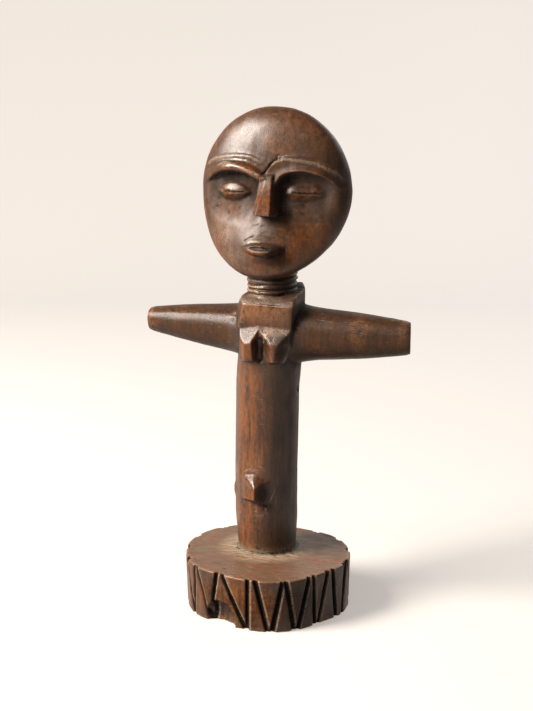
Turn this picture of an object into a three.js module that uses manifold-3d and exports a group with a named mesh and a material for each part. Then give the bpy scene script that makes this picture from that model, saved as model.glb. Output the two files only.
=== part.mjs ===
// A carved wooden akuaba figure: a round flat head on a ringed neck, a plain column of a body with two
// short arms, and a round foot disc with a zigzag cut into its wall. It is one block of wood, so every
// form is joined into one solid.
// Millimetres, +Z up, the face towards -Y. The origin is the middle of the disc's underside.

import * as THREE from "three";
import { ConvexGeometry } from "three/addons/geometries/ConvexGeometry.js";
import { mergeVertices } from "three/addons/utils/BufferGeometryUtils.js";
import Module from "manifold-3d";

const wasm = await Module();
wasm.setup();

// Foot disc: its outline is a circle with a few places where the block was cut fuller or flatter.
const disc = { height: 25.2, radius: 39.6, taper: 0.6, mound: 1, sides: 52 };
const discSwells = [
  { bearing: -125, reach: 34, out: 6 },
  { bearing: -14, reach: 22, out: -2.8 },
  { bearing: 62, reach: 16, out: -2.4 },
  { bearing: 150, reach: 26, out: 1.8 },
];

// Zigzag: knife strokes down the disc's wall. The front ones were cut unevenly, the rest are even.
const zigzagTops = [-44, -20, 7.6, 31, 53, 72];
const zigzagFeet = [-29, 4, 21, 40, 59, 82];
const stroke = { width: 2.4, depth: 1.7, gap: 2, hiddenPitch: 22.7, hiddenLean: 15 };

// Break in the disc's lower edge, between two strokes of the zigzag.
const chip = { bearing: -19, radius: 36.5, height: 3, halfWidth: 8.5, halfDepth: 5.2, halfHeight: 8.4 };

// Column: it stands behind the middle of the disc and leans a little to the figure's left going up.
const column = { x: -3.8, y: 9, radius: 14.9, footRadius: 14.2, topRadius: 15.2, top: 128, bow: 0.6 };
const upper = { x: 0.2, y: 9 };

// Navel knob: an upright ridge with a facet to each side, above and below. The ridge leans to the left.
const navel = { x: -4.4, halfWidth: 9.2, top: 66.8, bottom: 52.6, ridgeTop: 61.6, ridgeFoot: 56, out: 20.8 };
const navelFacets = { rooted: 3.5, topHalf: 3, topOut: 3.2, ridgeHalf: 0.6, lean: 1 };

// Chest block: squared off in front, with a wide bevel on its right corner and a top that slopes forward.
// The front and back are measured from the body's middle line.
const chest = { front: -14.5, back: 12.5, topFront: 149, topBack: 155, waist: 121, panelFoot: 138 };
const chestEdges = { topLeft: 14, topRight: -11, footLeft: 13.2, footRight: -13.1 };
const chestCorners = { bevel: 6, bevelRun: 4.6, soft: 0.8, roundFrom: 7, roundOff: 4.2 };

// Breasts: two faceted knobs side by side under the flat panel. Each has a narrow facet in front, with an
// upright edge below it and a steep slope above it.
const breast = { middle: 3, apart: 6, halfWidth: 5.9, top: 137.8, bottom: 121.6, out: 20.2 };
const breastFacets = { right: -2.5, left: 0.9, crest: 132.2, edgeX: -0.7, edge: 129.2, footX: 1.2 };
const breastOut = { rooted: 4, top: 0.7, foot: 1.6, footEdge: 3.4 };

// Arms: round tapering stubs with flat ends. The figure's left arm is the fuller one, and its end slants
// back. The slant is in mm for every mm towards the back.
const arms = { z: 134, depth: 0.93, edge: 1.8, softened: 1, sides: 20, steps: 9, root: 10, flare: 5 };
const rightArm = { reach: 64.5, rootHeight: 25.6, tipHeight: 12, rise: 1.7, fullness: 0.8, slant: 0 };
const leftArm = { reach: 68.2, rootHeight: 26.4, tipHeight: 15.6, rise: 1.4, fullness: 0.9, slant: 0.25 };

// Neck: a stack of rings. Behind the chin it runs on up, as the nape, into the back of the head.
const neck = { x: -1.2, y: 8.8, radius: 12, grooveDepth: 0.9, pitch: 2.6, rings: 4, bottom: 151, top: 163 };
const nape = { top: 190, y: 12, radius: 6, sides: 32 };

// Head: a thick round disc, a half ellipse above its middle and a slightly longer one below.
const head = { x: 0, y: 11.5, z: 201, halfWidth: 36.8, up: 38.6, down: 40.3, front: 14, back: 12.5 };
const headBend = { chinForward: 14, chinAside: -2.4, flatterBelow: 4.5, thinnerBelow: 0.75, fuller: 1.8 };
const headMesh = { around: 42, down: 22 };

// Face, measured from the middle of the head: dx to the figure's left, z up, out from the face.
const socket = { dx: 18.6, z: 202.6, halfWidth: 14.4, halfHeight: 9.2, depth: 4.4 };
const eye = { dx: 17.7, z: 201.2, halfWidth: 9.6, halfHeight: 4.7 };
const lids = { z: 200.8, slit: 0.8, slitHalf: 6, out: 0.4 };
const brow = { ridge: 2.3, band: 4.4, bandOut: 1, under: 5 };
const browLine = [
  [1.5, 207.5],
  [9, 213],
  [19, 214.2],
  [28.4, 210],
  [32.6, 203.4],
];
const nose = { x: 0.8, root: 209.6, foot: 191.4, rootOut: 3.6, footOut: 9.4, rooted: 4 };
const noseHalf = { root: 1.9, foot: 4, cheekRoot: 5.2, cheek: 6.2 };
const muzzle = { x: 0.5, z: 177, halfWidth: 20, halfHeight: 15, out: 3.2 };
const mouth = { x: -1, z: 175.6, halfWidth: 9.8, halfHeight: 5, out: 3.8 };
const lips = { x: -1.4, z: 175.3, slit: 1, slitHalf: 5.6 };
const lump = { around: 16, down: 7, lidThickness: 4, lidOut: -3.8 };

const wood = new THREE.MeshStandardMaterial({ color: 0x6e4a30, roughness: 0.42, metalness: 0 });
wood.name = "stained_hardwood";

// Helpers

const rad = THREE.MathUtils.degToRad;
const { lerp, smoothstep } = THREE.MathUtils;

// Turns a closed geometry into a solid that can be joined and cut.
function solid(geometry) {
  const bare = geometry.index ? geometry.toNonIndexed() : geometry.clone();
  for (const name of Object.keys(bare.attributes)) if (name !== "position") bare.deleteAttribute(name);
  const merged = mergeVertices(bare, 1e-4);
  const triVerts = new Uint32Array(merged.index.array);
  return new wasm.Manifold(
    new wasm.Mesh({ numProp: 3, vertProperties: merged.attributes.position.array, triVerts }),
  );
}

// Moves every vertex of a geometry by a function of its position, which gives back [x, y, z].
function bend(geometry, place) {
  const points = geometry.attributes.position;
  for (let i = 0; i < points.count; i++)
    points.setXYZ(i, ...place(points.getX(i), points.getY(i), points.getZ(i)));
  return solid(geometry);
}

// A straight bar of a flat section, one unit long in z, ready to be bent along a line.
function bar(section, steps) {
  const shape = new THREE.Shape(section.map(([x, y]) => new THREE.Vector2(x, y)));
  return new THREE.ExtrudeGeometry(shape, { depth: 1, steps, bevelEnabled: false });
}

function hull(points) {
  return solid(new ConvexGeometry(points.map((p) => new THREE.Vector3(...p))));
}

const join = (solids) => solids.reduce((sum, next) => sum.add(next));

// Foot disc

// Bearings run from the front, -Y, towards the figure's left, +X.
function turnsApart(a, b) {
  return Math.abs(THREE.MathUtils.euclideanModulo(a - b + 180, 360) - 180);
}

function discRadius(bearing, z) {
  const swell = discSwells.reduce((sum, s) => {
    const near = Math.max(0, 1 - turnsApart(bearing, s.bearing) / (2 * s.reach));
    return sum + s.out * near * near * (3 - 2 * near);
  }, 0);
  return disc.radius + swell - disc.taper * (1 - z / disc.height);
}

function onWall(bearing, z, out) {
  const r = discRadius(bearing, z) + out;
  return [r * Math.sin(rad(bearing)), -r * Math.cos(rad(bearing)), z];
}

function footDisc() {
  const body = new THREE.CylinderGeometry(1, 1, 1, disc.sides, 1);
  body.rotateX(Math.PI / 2);
  return bend(body, (x, y, z) => {
    const height = (z + 0.5) * disc.height;
    const reach = Math.hypot(x, y);
    if (reach < 0.5) return [0, 0, height];
    return onWall(THREE.MathUtils.radToDeg(Math.atan2(x, -y)), height, 0);
  });
}

// The top rises a little to the foot of the column.
function mound() {
  const { footRadius } = column;
  const rise = new THREE.CylinderGeometry(footRadius + 1, footRadius + 7, 2 * disc.mound, 36, 1);
  rise.rotateX(Math.PI / 2);
  return solid(rise.translate(column.x, column.y, disc.height));
}

// One V-shaped stroke, from a bearing at the top of the wall to one at its foot.
function knifeStroke(topBearing, footBearing) {
  const half = stroke.width / 2;
  const section = [
    [-half * 1.4, stroke.depth * 0.4],
    [0, -stroke.depth],
    [half * 1.4, stroke.depth * 0.4],
  ];
  const over = 0.08;
  return bend(bar(section, 3), (across, out, along) => {
    const s = lerp(-over, 1 + over, along);
    const turn = THREE.MathUtils.radToDeg(across / disc.radius);
    return onWall(lerp(footBearing, topBearing, s) - turn, disc.height * s, out);
  });
}

// Pairs of strokes, Λ by Λ, right round the disc.
function zigzag() {
  const tops = [...zigzagTops];
  const feet = [...zigzagFeet];
  const last = zigzagTops[0] + 360 - stroke.hiddenPitch / 2;
  for (let top = zigzagTops.at(-1) + stroke.hiddenPitch; top < last; top += stroke.hiddenPitch) {
    tops.push(top);
    feet.push(top + stroke.hiddenLean);
  }
  const gap = THREE.MathUtils.radToDeg(stroke.gap / disc.radius);
  return tops.flatMap((top, i) => {
    const footBefore = i ? feet[i - 1] : feet.at(-1) - 360;
    return [knifeStroke(top - gap / 2, footBefore + gap / 2), knifeStroke(top + gap / 2, feet[i] - gap / 2)];
  });
}

function brokenEdge() {
  const lump = new THREE.IcosahedronGeometry(1, 1);
  lump.scale(chip.halfWidth, chip.halfDepth, chip.halfHeight);
  lump.rotateZ(rad(chip.bearing));
  const [x, y] = [Math.sin(rad(chip.bearing)), -Math.cos(rad(chip.bearing))];
  return solid(lump.translate(x * chip.radius, y * chip.radius, chip.height));
}

// Column and navel

function columnAxis(z) {
  const low = Math.sin(Math.PI * Math.min(1, Math.max(0, (z - disc.height) / 72)));
  return column.x - column.bow * low + (upper.x - column.x) * smoothstep(z, 100, 156);
}

function columnRadius(z) {
  const foot = (column.radius - column.footRadius) * (1 - smoothstep(z, disc.height, disc.height + 22));
  return column.radius - foot + (column.topRadius - column.radius) * smoothstep(z, 100, 120);
}

function trunk() {
  const body = new THREE.CylinderGeometry(1, 1, 1, 40, 12);
  body.rotateX(Math.PI / 2);
  return bend(body, (x, y, z) => {
    const height = lerp(disc.height - 2, column.top, z + 0.5);
    const r = columnRadius(height);
    return [columnAxis(height) + r * x, column.y + r * y, height];
  });
}

function navelKnob() {
  const { rooted, topHalf, topOut, ridgeHalf, lean } = navelFacets;
  const inside = column.y - column.radius + rooted;
  const outside = column.y - navel.out;
  const middle = (navel.ridgeTop + navel.ridgeFoot) / 2;
  return hull([
    [navel.x, inside, navel.top],
    [navel.x - topHalf, inside - topOut, navel.top],
    [navel.x + topHalf, inside - topOut, navel.top],
    [navel.x - navel.halfWidth, inside, middle],
    [navel.x + navel.halfWidth, inside, middle],
    [navel.x, inside, navel.bottom],
    [navel.x + lean, inside - topOut, navel.bottom],
    [navel.x - ridgeHalf, outside, navel.ridgeTop],
    [navel.x + ridgeHalf, outside, navel.ridgeTop],
    [navel.x + lean, outside, navel.ridgeFoot],
  ]);
}

// Chest, breasts and arms

// A level slice of the chest: a squared front edge from right to left, round behind.
function chestSlice(right, left, frontZ, backZ) {
  const { bevel, bevelRun, soft, roundFrom, roundOff } = chestCorners;
  const depth = chest.back - chest.front;
  const bevelX = right - bevelRun;
  const corners = [
    [right, 0],
    [left - soft, 0],
    [left, soft],
    [left - soft, depth - roundFrom],
    [left - roundOff, depth],
    [bevelX + roundOff, depth],
    [bevelX + soft, depth - roundFrom],
    [bevelX, bevel],
  ];
  return corners.map(([x, back]) => [x, upper.y + chest.front + back, lerp(frontZ, backZ, back / depth)]);
}

function chestBlock() {
  const sides = 24;
  const r = columnRadius(chest.waist);
  const waist = Array.from({ length: sides }, (_, i) => {
    const turn = (2 * Math.PI * i) / sides;
    return [columnAxis(chest.waist) + r * Math.cos(turn), column.y + r * Math.sin(turn), chest.waist];
  });
  return hull([
    ...waist,
    ...chestSlice(chestEdges.footRight, chestEdges.footLeft, chest.panelFoot, chest.panelFoot),
    ...chestSlice(chestEdges.topRight, chestEdges.topLeft, chest.topFront, chest.topBack),
  ]);
}

// Each breast is cut with a steep facet above its apex and two below that meet in an upright edge.
function breastKnob(side) {
  const { right, left, crest, edgeX, edge, footX } = breastFacets;
  const x = breast.middle + side * breast.apart;
  const panel = upper.y + chest.front;
  const outside = upper.y - breast.out;
  const inside = panel + breastOut.rooted;
  const flanks = [x - breast.halfWidth, x + breast.halfWidth].flatMap((flank) => [
    [flank, inside, breast.top],
    [flank, panel - breastOut.top, breast.top],
    [flank, panel - breastOut.foot, breast.bottom],
    [flank, inside, breast.bottom],
  ]);
  return hull([
    ...flanks,
    [x + right, outside, crest],
    [x + left, outside, crest],
    [x + edgeX, outside, edge],
    [x + footX, panel - breastOut.footEdge, breast.bottom],
  ]);
}

// side is +1 for the figure's left arm. Sections are round, on a line that rises a little to the tip. The
// arm widens where it leaves the chest, swells a little along its length and has a softened end.
function arm(side, { reach, rootHeight, tipHeight, rise, fullness, slant }) {
  const rod = new THREE.CylinderGeometry(1, 1, 1, arms.sides, arms.steps);
  rod.rotateZ(side * -Math.PI / 2);
  const tipFront = (arms.depth * tipHeight) / 2;
  return bend(rod, (x, y, z) => {
    const s = side * x + 0.5;
    const onEnd = s > 1 - 0.5 / arms.steps;
    const beforeEnd = !onEnd && s > 1 - 1.5 / arms.steps;
    const along = beforeEnd ? 1 - arms.edge / (reach - arms.root) : s;
    const swell = fullness * Math.sin(Math.PI * along) + (arms.flare / 2) * (1 - along) ** 8;
    const half = lerp(rootHeight, tipHeight, along) / 2 + swell - (onEnd ? arms.softened : 0);
    const forward = arms.depth * half * z;
    const cutBack = slant * (tipFront - forward) * smoothstep(along, 0.8, 1);
    const out = lerp(arms.root, reach, along) - cutBack;
    return [upper.x + side * out, upper.y - forward, arms.z + rise * along + half * y];
  });
}

// Neck

function ringedNeck() {
  const rooted = neck.bottom - 3;
  const profile = [new THREE.Vector2(0, rooted), new THREE.Vector2(neck.radius, rooted)];
  for (let i = 0; i < neck.rings; i++) {
    const z = neck.bottom + i * neck.pitch;
    profile.push(new THREE.Vector2(neck.radius + 0.25, z + neck.pitch * 0.4));
    profile.push(new THREE.Vector2(neck.radius, z + neck.pitch * 0.8));
    profile.push(new THREE.Vector2(neck.radius - neck.grooveDepth, z + neck.pitch));
  }
  profile.push(new THREE.Vector2(neck.radius - 0.3, neck.top), new THREE.Vector2(0, neck.top));
  const rings = new THREE.LatheGeometry(profile, nape.sides);
  rings.rotateX(Math.PI / 2);
  return solid(rings.translate(neck.x, neck.y, 0)).add(napeWedge());
}

function napeWedge() {
  const wedge = new THREE.CylinderGeometry(1, 1, 1, nape.sides, 3);
  wedge.rotateX(Math.PI / 2);
  return bend(wedge, (x, y, z) => {
    const s = z + 0.5;
    const r = lerp(neck.radius - 0.4, nape.radius, s);
    return [neck.x + r * x, lerp(neck.y, nape.y, s) + r * y, lerp(neck.top - 1, nape.top, s)];
  });
}

// Head and face

// 0 from the middle of the head upwards, 1 at the chin.
const towardsChin = (z) => THREE.MathUtils.clamp((head.z - z) / head.down, 0, 1);

// The middle of the outline at a height: the chin lies a little to the right.
const headMiddle = (z) => head.x + headBend.chinAside * towardsChin(z) ** 2;

// How far the middle of the head's thickness comes forward.
function headForward(z) {
  return headBend.chinForward * towardsChin(z) ** 1.8;
}

function backThickness(z) {
  return head.back * (1 - headBend.thinnerBelow * towardsChin(z) ** 2);
}

function faceY(x, z) {
  const reach = z > head.z ? head.up : head.down;
  const rho = Math.min(1, Math.hypot((x - headMiddle(z)) / head.halfWidth, (z - head.z) / reach));
  return head.y - headForward(z) - faceThickness(z) * domeAt(rho, z);
}

function faceThickness(z) {
  return head.front - headBend.flatterBelow * smoothstep(towardsChin(z), 0, 1);
}

// The face is flatter than a ball and turns sharply at its rim, most of all round the chin.
function domeAt(rho, z) {
  return Math.sqrt(1 - rho ** (2.2 + headBend.fuller * towardsChin(z)));
}

function headDisc() {
  return bend(new THREE.SphereGeometry(1, headMesh.around, headMesh.down), (sx, sy, sz) => {
    const z = head.z + sz * (sz > 0 ? head.up : head.down);
    const x = headMiddle(z) - sx * head.halfWidth;
    const rho = Math.min(1, Math.hypot(sx, sz));
    const thickness = sy > 0 ? faceThickness(z) * domeAt(rho, z) : sy * backThickness(z);
    return [x, head.y - headForward(z) - thickness, z];
  });
}

// A round lump that follows the face, at (dx, z), its middle raised by out.
function onFace(dx, { z, halfWidth, halfHeight }, thickness, out) {
  return bend(new THREE.SphereGeometry(1, lump.around, lump.down), (sx, sy, sz) => {
    const x = head.x + dx - sx * halfWidth;
    const height = z + sz * halfHeight;
    return [x, faceY(x, height) - out - sy * thickness, height];
  });
}

function slit(dx, z, halfWidth, height, out) {
  const cut = new THREE.BoxGeometry(1, 1, 1, 6, 1, 1);
  return bend(cut, (bx, by, bz) => {
    const x = head.x + dx + 2 * bx * halfWidth;
    const thin = 1 - 4 * bx * bx;
    return [x, faceY(x, z) - out + 4 * by, z + bz * height * (0.25 + thin)];
  });
}

// The brow: a raised band whose lower edge is a ridge that hangs over the eye.
function browRidge(side) {
  const line = new THREE.SplineCurve(browLine.map(([dx, z]) => new THREE.Vector2(dx, z)));
  const section = [
    [0.4, -brow.under],
    [-0.9, brow.ridge * 0.5],
    [0.3, brow.ridge],
    [brow.band, brow.bandOut],
    [brow.band + 0.6, -1.5],
  ];
  if (side < 0) section.forEach((p) => (p[0] = -p[0]));
  return bend(bar(section, 14), (across, out, along) => {
    const at = line.getPoint(along);
    const tangent = line.getTangent(along);
    const up = side * across;
    const fade = 1 - 0.9 * smoothstep(along, 0.62, 1);
    const x = head.x + side * (at.x - tangent.y * up);
    const z = at.y + tangent.x * up;
    return [x, faceY(x, z) - (out > 0 ? out * fade : out), z];
  });
}

// The nose: a wedge with a flat front, a side plane each side and a flat cut below.
function noseWedge() {
  const { x, rooted } = nose;
  const top = faceY(x, nose.root);
  const foot = faceY(x, nose.foot);
  const sides = [-1, 1].flatMap((side) => [
    [x + side * noseHalf.root, top - nose.rootOut, nose.root],
    [x + side * noseHalf.foot, foot - nose.footOut, nose.foot + 0.6],
    [x + side * noseHalf.cheek, foot + 1, nose.foot - 0.4],
    [x + side * noseHalf.cheekRoot, top + rooted, nose.root + 1],
  ]);
  return hull([...sides, [x, foot + rooted, nose.foot]]);
}

function carvedHead() {
  let form = headDisc();
  for (const side of [-1, 1]) form = form.subtract(onFace(side * socket.dx, socket, socket.depth, 0));
  form = form.add(noseWedge());
  for (const side of [-1, 1]) {
    form = form.add(onFace(side * eye.dx, eye, lump.lidThickness, lump.lidOut)).add(browRidge(side));
    form = form.subtract(slit(side * eye.dx, lids.z, lids.slitHalf, lids.slit, lids.out));
  }
  form = form.add(onFace(muzzle.x, muzzle, muzzle.out, 0)).add(onFace(mouth.x, mouth, mouth.out, muzzle.out));
  return form.subtract(slit(lips.x, lips.z, lips.slitHalf, lips.slit, mouth.out + muzzle.out));
}

// The whole figure

function carveFigure() {
  const body = join([
    footDisc().add(mound()),
    trunk(),
    navelKnob(),
    chestBlock(),
    breastKnob(-1),
    breastKnob(1),
    arm(-1, rightArm),
    arm(1, leftArm),
    ringedNeck(),
    carvedHead(),
  ]);
  return [...zigzag(), brokenEdge()].reduce((form, cut) => form.subtract(cut), body);
}

function meshOf(form, name, material) {
  const { numProp, vertProperties, triVerts } = form.getMesh();
  const geometry = new THREE.BufferGeometry();
  geometry.setAttribute("position", new THREE.BufferAttribute(vertProperties, numProp));
  geometry.setIndex(new THREE.BufferAttribute(triVerts, 1));
  geometry.computeVertexNormals();
  const mesh = new THREE.Mesh(geometry, material);
  mesh.name = name;
  return mesh;
}

const figure = new THREE.Group();
figure.add(meshOf(carveFigure(), "akuaba_figure", wood));

export default figure;
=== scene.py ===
from math import radians

import bpy
import numpy as np
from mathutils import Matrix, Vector
from mathutils.bvhtree import BVHTree


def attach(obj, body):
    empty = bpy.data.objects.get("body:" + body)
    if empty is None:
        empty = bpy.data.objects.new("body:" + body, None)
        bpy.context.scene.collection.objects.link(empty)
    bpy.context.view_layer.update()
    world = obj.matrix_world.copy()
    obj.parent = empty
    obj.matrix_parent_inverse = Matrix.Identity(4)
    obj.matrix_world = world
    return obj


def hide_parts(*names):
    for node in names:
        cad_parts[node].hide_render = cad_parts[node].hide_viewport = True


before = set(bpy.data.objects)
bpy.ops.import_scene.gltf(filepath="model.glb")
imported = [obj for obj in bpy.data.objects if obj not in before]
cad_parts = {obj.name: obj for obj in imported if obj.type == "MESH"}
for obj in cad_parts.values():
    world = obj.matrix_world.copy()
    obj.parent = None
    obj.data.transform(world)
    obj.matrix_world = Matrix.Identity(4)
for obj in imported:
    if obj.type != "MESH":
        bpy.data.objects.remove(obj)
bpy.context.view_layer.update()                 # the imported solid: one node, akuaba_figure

# A carved akuaba figure, cut from one block of hardwood, stained dark and polished by hand: a disc foot
# with a knife-cut zigzag, a column body with a navel, a squared chest, two tapered arms, a ringed neck
# and a round flat head. Sizes are millimetres, +Z up, the face towards -Y, the origin in the middle of
# the disc's underside. Every form is a surface worked out with numpy; the forms are fused, carved and
# given their patina, with painted shade and painted highlights, as one piece.
millimetre = 0.001


# Small tools for shapes

def ease(value, low, high):
    # 0 below low, 1 above high, a smooth S between them
    share = np.clip((value - low) / (high - low), 0, 1)
    return share * share * (3 - 2 * share)


def softMax(a, b, blend):
    # the larger of two heights, rounded over where they differ by less than blend
    share = np.clip(0.5 + 0.5 * (a - b) / blend, 0, 1)
    return b + (a - b) * share + blend * share * (1 - share)


def softMin(a, b, blend):
    return -softMax(-a, -b, blend)


def softNoise(points, size, seed):
    # -1 to 1: random heights on a lattice with cells of the given size, eased between the lattice points
    table = np.random.default_rng(seed).uniform(-1, 1, (32, 32, 32))
    place = points / np.broadcast_to(np.asarray(size, float), (3,))
    cell = np.floor(place).astype(int)
    part = place - cell
    part = part * part * (3 - 2 * part)
    total = np.zeros(points.shape[:-1])
    for corner in np.ndindex(2, 2, 2):
        weight = np.prod(np.where(corner, part, 1 - part), axis=-1)
        at = (cell + np.array(corner)) % 32
        total += weight * table[at[..., 0], at[..., 1], at[..., 2]]
    return total


def smoothLine(points, count):
    # a smooth curve through a few points, as count points
    knots = np.asarray(points, float)
    knots = np.vstack([2 * knots[0] - knots[1], knots, 2 * knots[-1] - knots[-2]])
    at = np.linspace(0, len(points) - 1, count)
    first = np.minimum(at.astype(int), len(points) - 2)
    t = (at - first)[:, None]
    a, b, c, d = (knots[first + k] for k in range(4))
    return 0.5 * (2 * b + (c - a) * t + (2 * a - 5 * b + 4 * c - d) * t ** 2 + (3 * b - a - 3 * c + d) * t ** 3)


def fromLine(line, points):
    # for each point: its distance from a line of points, the share of the way along, and which side it is on
    a, b = line[:-1], line[1:]
    step = b - a
    reach = points[..., None, :] - a
    t = np.clip((reach * step).sum(-1) / np.maximum((step * step).sum(-1), 1e-9), 0, 1)
    gap = reach - t[..., None] * step
    distance = np.sqrt((gap * gap).sum(-1))
    nearest = distance.argmin(-1)[..., None]
    share = (nearest[..., 0] + np.take_along_axis(t, nearest, -1)[..., 0]) / len(a)
    side = step[..., 0] * gap[..., 1] - step[..., 1] * gap[..., 0]
    return np.take_along_axis(distance, nearest, -1)[..., 0], share, np.sign(np.take_along_axis(side, nearest, -1)[..., 0])


def gridFaces(rows, columns, closed):
    # quads over a grid of rows by columns points; closed joins the last column to the first
    across = np.arange(columns if closed else columns - 1)
    row = np.arange(rows - 1)[:, None] * columns
    next_ = (across + 1) % columns
    return np.stack([row + across, row + next_, row + columns + next_, row + columns + across], -1).reshape(-1, 4)


def makeObject(name, points, faces):
    mesh = bpy.data.meshes.new(name)
    mesh.vertices.add(len(points))
    mesh.vertices.foreach_set("co", (points * millimetre).astype(np.float32).ravel())
    mesh.loops.add(faces.size)
    mesh.loops.foreach_set("vertex_index", faces.astype(np.int32).ravel())
    mesh.polygons.add(len(faces))
    mesh.polygons.foreach_set("loop_start", np.arange(0, faces.size, faces.shape[1], dtype=np.int32))
    mesh.update(calc_edges=True)
    made = bpy.data.objects.new(name, mesh)
    bpy.context.scene.collection.objects.link(made)
    return made


# Foot disc

disc = {
    "height": 25.2,
    "radius": 39.6,
    "taper": 0.6,                 # the foot is this much narrower than the top
    "swells": ((-125, 34, 6.0), (-14, 22, -2.8), (62, 16, -2.4), (150, 26, 1.8)),    # bearing, reach, out
    "rimRound": 0.9,
    "mound": 0.7,                 # rise of the top at the column
    "topUneven": 0.28,
}

# Bearings in degrees at the top and the foot of the wall, from -Y towards +X: the strokes that were cut
# unevenly in front. The back has even ones.
zigzag = {
    "strokes": (
        (-45.3, -47.3), (-42.7, -29.2), (-22.1, -29.2), (-17.5, 3.4), (4.9, 4.5), (10.4, 19.5), (29.8, 22.4),
        (32, 38.3), (50.7, 41.2), (55.2, 57), (69.5, 60.4), (74.4, 79), (89.1, 87),
    ),
    "width": 3.2,
    "depth": 2.1,
    "firstShare": 0.45,           # the first two strokes are shallow
    # width of the pale highlight painted along each stroke's right lip
    "lip": 0.55,
    "backFrom": 94.7,
    "backTo": 304,
    "backPitch": 22.7,
    "backLean": 15,
    "gap": 2.9,                   # degrees between the two strokes of a pair at the top
}

# Place where the disc's lower front edge broke away.
brokenEdge = {"bearing": -19, "radius": 36.5, "z": 3, "halfWidth": 8.5, "halfDepth": 5.2, "halfHeight": 8.4}


def discRadius(bearing, z):
    swell = 0
    for middle, reach, out in disc["swells"]:
        apart = np.abs((bearing - middle + 180) % 360 - 180)
        near = np.maximum(0, 1 - apart / (2 * reach))
        swell = swell + out * near * near * (3 - 2 * near)
    return disc["radius"] + swell - disc["taper"] * (1 - z / disc["height"])


def allStrokes():
    # pairs that meet at the top, right round the hidden back as well
    lines = list(zigzag["strokes"])
    half = zigzag["gap"] / 2
    foot = zigzag["strokes"][-1][1] - half
    for top in np.arange(zigzag["backFrom"], zigzag["backTo"], zigzag["backPitch"]):
        lines.append((top - half, foot + half))
        foot = top + zigzag["backLean"]
        lines.append((top + half, foot - half))
    return lines


def strokeShare(bearing, z):
    # share 0 to 1 of the full depth: cuts along straight lines, steep on their left, sloping on their right;
    # and how near each place is to a cut's right lip, where a pale highlight is painted on
    share = np.zeros(np.broadcast(bearing, z).shape)
    lip = np.zeros(share.shape)
    up = np.clip(z / disc["height"], 0, 1)
    for number, (top, foot) in enumerate(allStrokes()):
        middle = foot + (top - foot) * up
        across = np.radians((bearing - middle + 180) % 360 - 180) * disc["radius"]
        across = across * np.cos(np.arctan(np.radians(top - foot) * disc["radius"] / disc["height"]))
        half = zigzag["width"] / 2
        cut = np.where(across < -0.25 * half, (across + half) / (0.75 * half), (half - across) / (1.25 * half))
        full = zigzag["firstShare"] if number < 2 else 1
        worn = 0.78 + 0.3 * np.sin(number * 2.3 + up * 3.1)          # no two strokes are cut alike
        share = np.maximum(share, np.clip(cut - 0.35 * (1 - worn), 0, 1) * full)
        lip = np.maximum(lip, (1 - np.clip(np.abs(across - half) / zigzag["lip"], 0, 1)) * full)
    return share, lip


def brokenReach(bearing, z, points):
    # radius of the hollow left by the break, an ellipsoid roughened along the grain; huge elsewhere
    across = np.sin(np.radians(bearing - brokenEdge["bearing"])) * brokenEdge["radius"] / brokenEdge["halfWidth"]
    up = (z - brokenEdge["z"]) / brokenEdge["halfHeight"]
    rough = 0.16 * softNoise(points, (1.6, 1.6, 5), 11) + 0.08 * softNoise(points, (0.7, 0.7, 2.4), 12)
    inside = np.clip(1 + rough - across ** 2 - up ** 2, 0, None)
    hollow = brokenEdge["radius"] - brokenEdge["halfDepth"] * np.sqrt(inside)
    ahead = np.abs((bearing - brokenEdge["bearing"] + 180) % 360 - 180) < 90
    return np.where((inside > 0) & ahead, hollow, 1e3)


def wallReach(bearing, z):
    # the wall's radius: the block's outline, less the knife strokes and the break
    angle = np.radians(bearing)
    flat = discRadius(bearing, z)
    points = np.stack([flat * np.sin(angle), -flat * np.cos(angle), z + 0 * flat], -1)
    uneven = 0.16 * softNoise(points, (5, 5, 11), 21) + 0.08 * softNoise(points, (1.8, 1.8, 6), 22)
    edge = disc["height"] - disc["rimRound"]
    rim = disc["rimRound"] * (1 - np.sqrt(np.clip(1 - np.clip((z - edge) / disc["rimRound"], 0, 1) ** 2, 0, 1)))
    cut = zigzag["depth"] * strokeShare(bearing, z)[0]
    return np.minimum(flat - 0.2 + uneven - cut - rim, brokenReach(bearing, z, points))


def discTop(x, y):
    # the disc's top: level, a little uneven, with a low rise to the column's foot
    points = np.stack([x, y, 0 * x], -1)
    toColumn = np.hypot(x - column["x"], y - column["y"])
    rise = disc["mound"] * (1 - ease(toColumn, column["footRadius"] - 1, column["footRadius"] + 13))
    uneven = softNoise(points, 11, 31) + 0.5 * softNoise(points, (9, 2.6, 5), 32)
    return disc["height"] - 0.25 + rise + disc["topUneven"] * uneven * 0.5


def discSurface():
    # rings of points: in under the foot, up the wall, and in over the top; bearing is the other parameter
    bearing = np.linspace(0, 360, 860, endpoint=False)
    angle = np.radians(bearing)
    wallRows = np.linspace(0, disc["height"], 70)
    shares = np.linspace(0, 1, 70)
    rings = []
    underside = wallReach(bearing, 0 * bearing)
    for share in shares[::3]:
        rings.append(np.stack([share * underside * np.sin(angle), -share * underside * np.cos(angle), 0 * angle], -1))
    for z in wallRows:
        reach = wallReach(bearing, z + 0 * bearing)
        rings.append(np.stack([reach * np.sin(angle), -reach * np.cos(angle), z + 0 * angle], -1))
    for share in shares[::-1]:
        x = share * reach * np.sin(angle)
        y = -share * reach * np.cos(angle)
        level = disc["height"] + (discTop(x, y) - disc["height"]) * ease(1 - share, 0, 0.05)
        rings.append(np.stack([x, y, level], -1))
    return np.concatenate(rings), gridFaces(len(rings), len(bearing), True)


# Column, navel, chest and breasts: one upright surface

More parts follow.
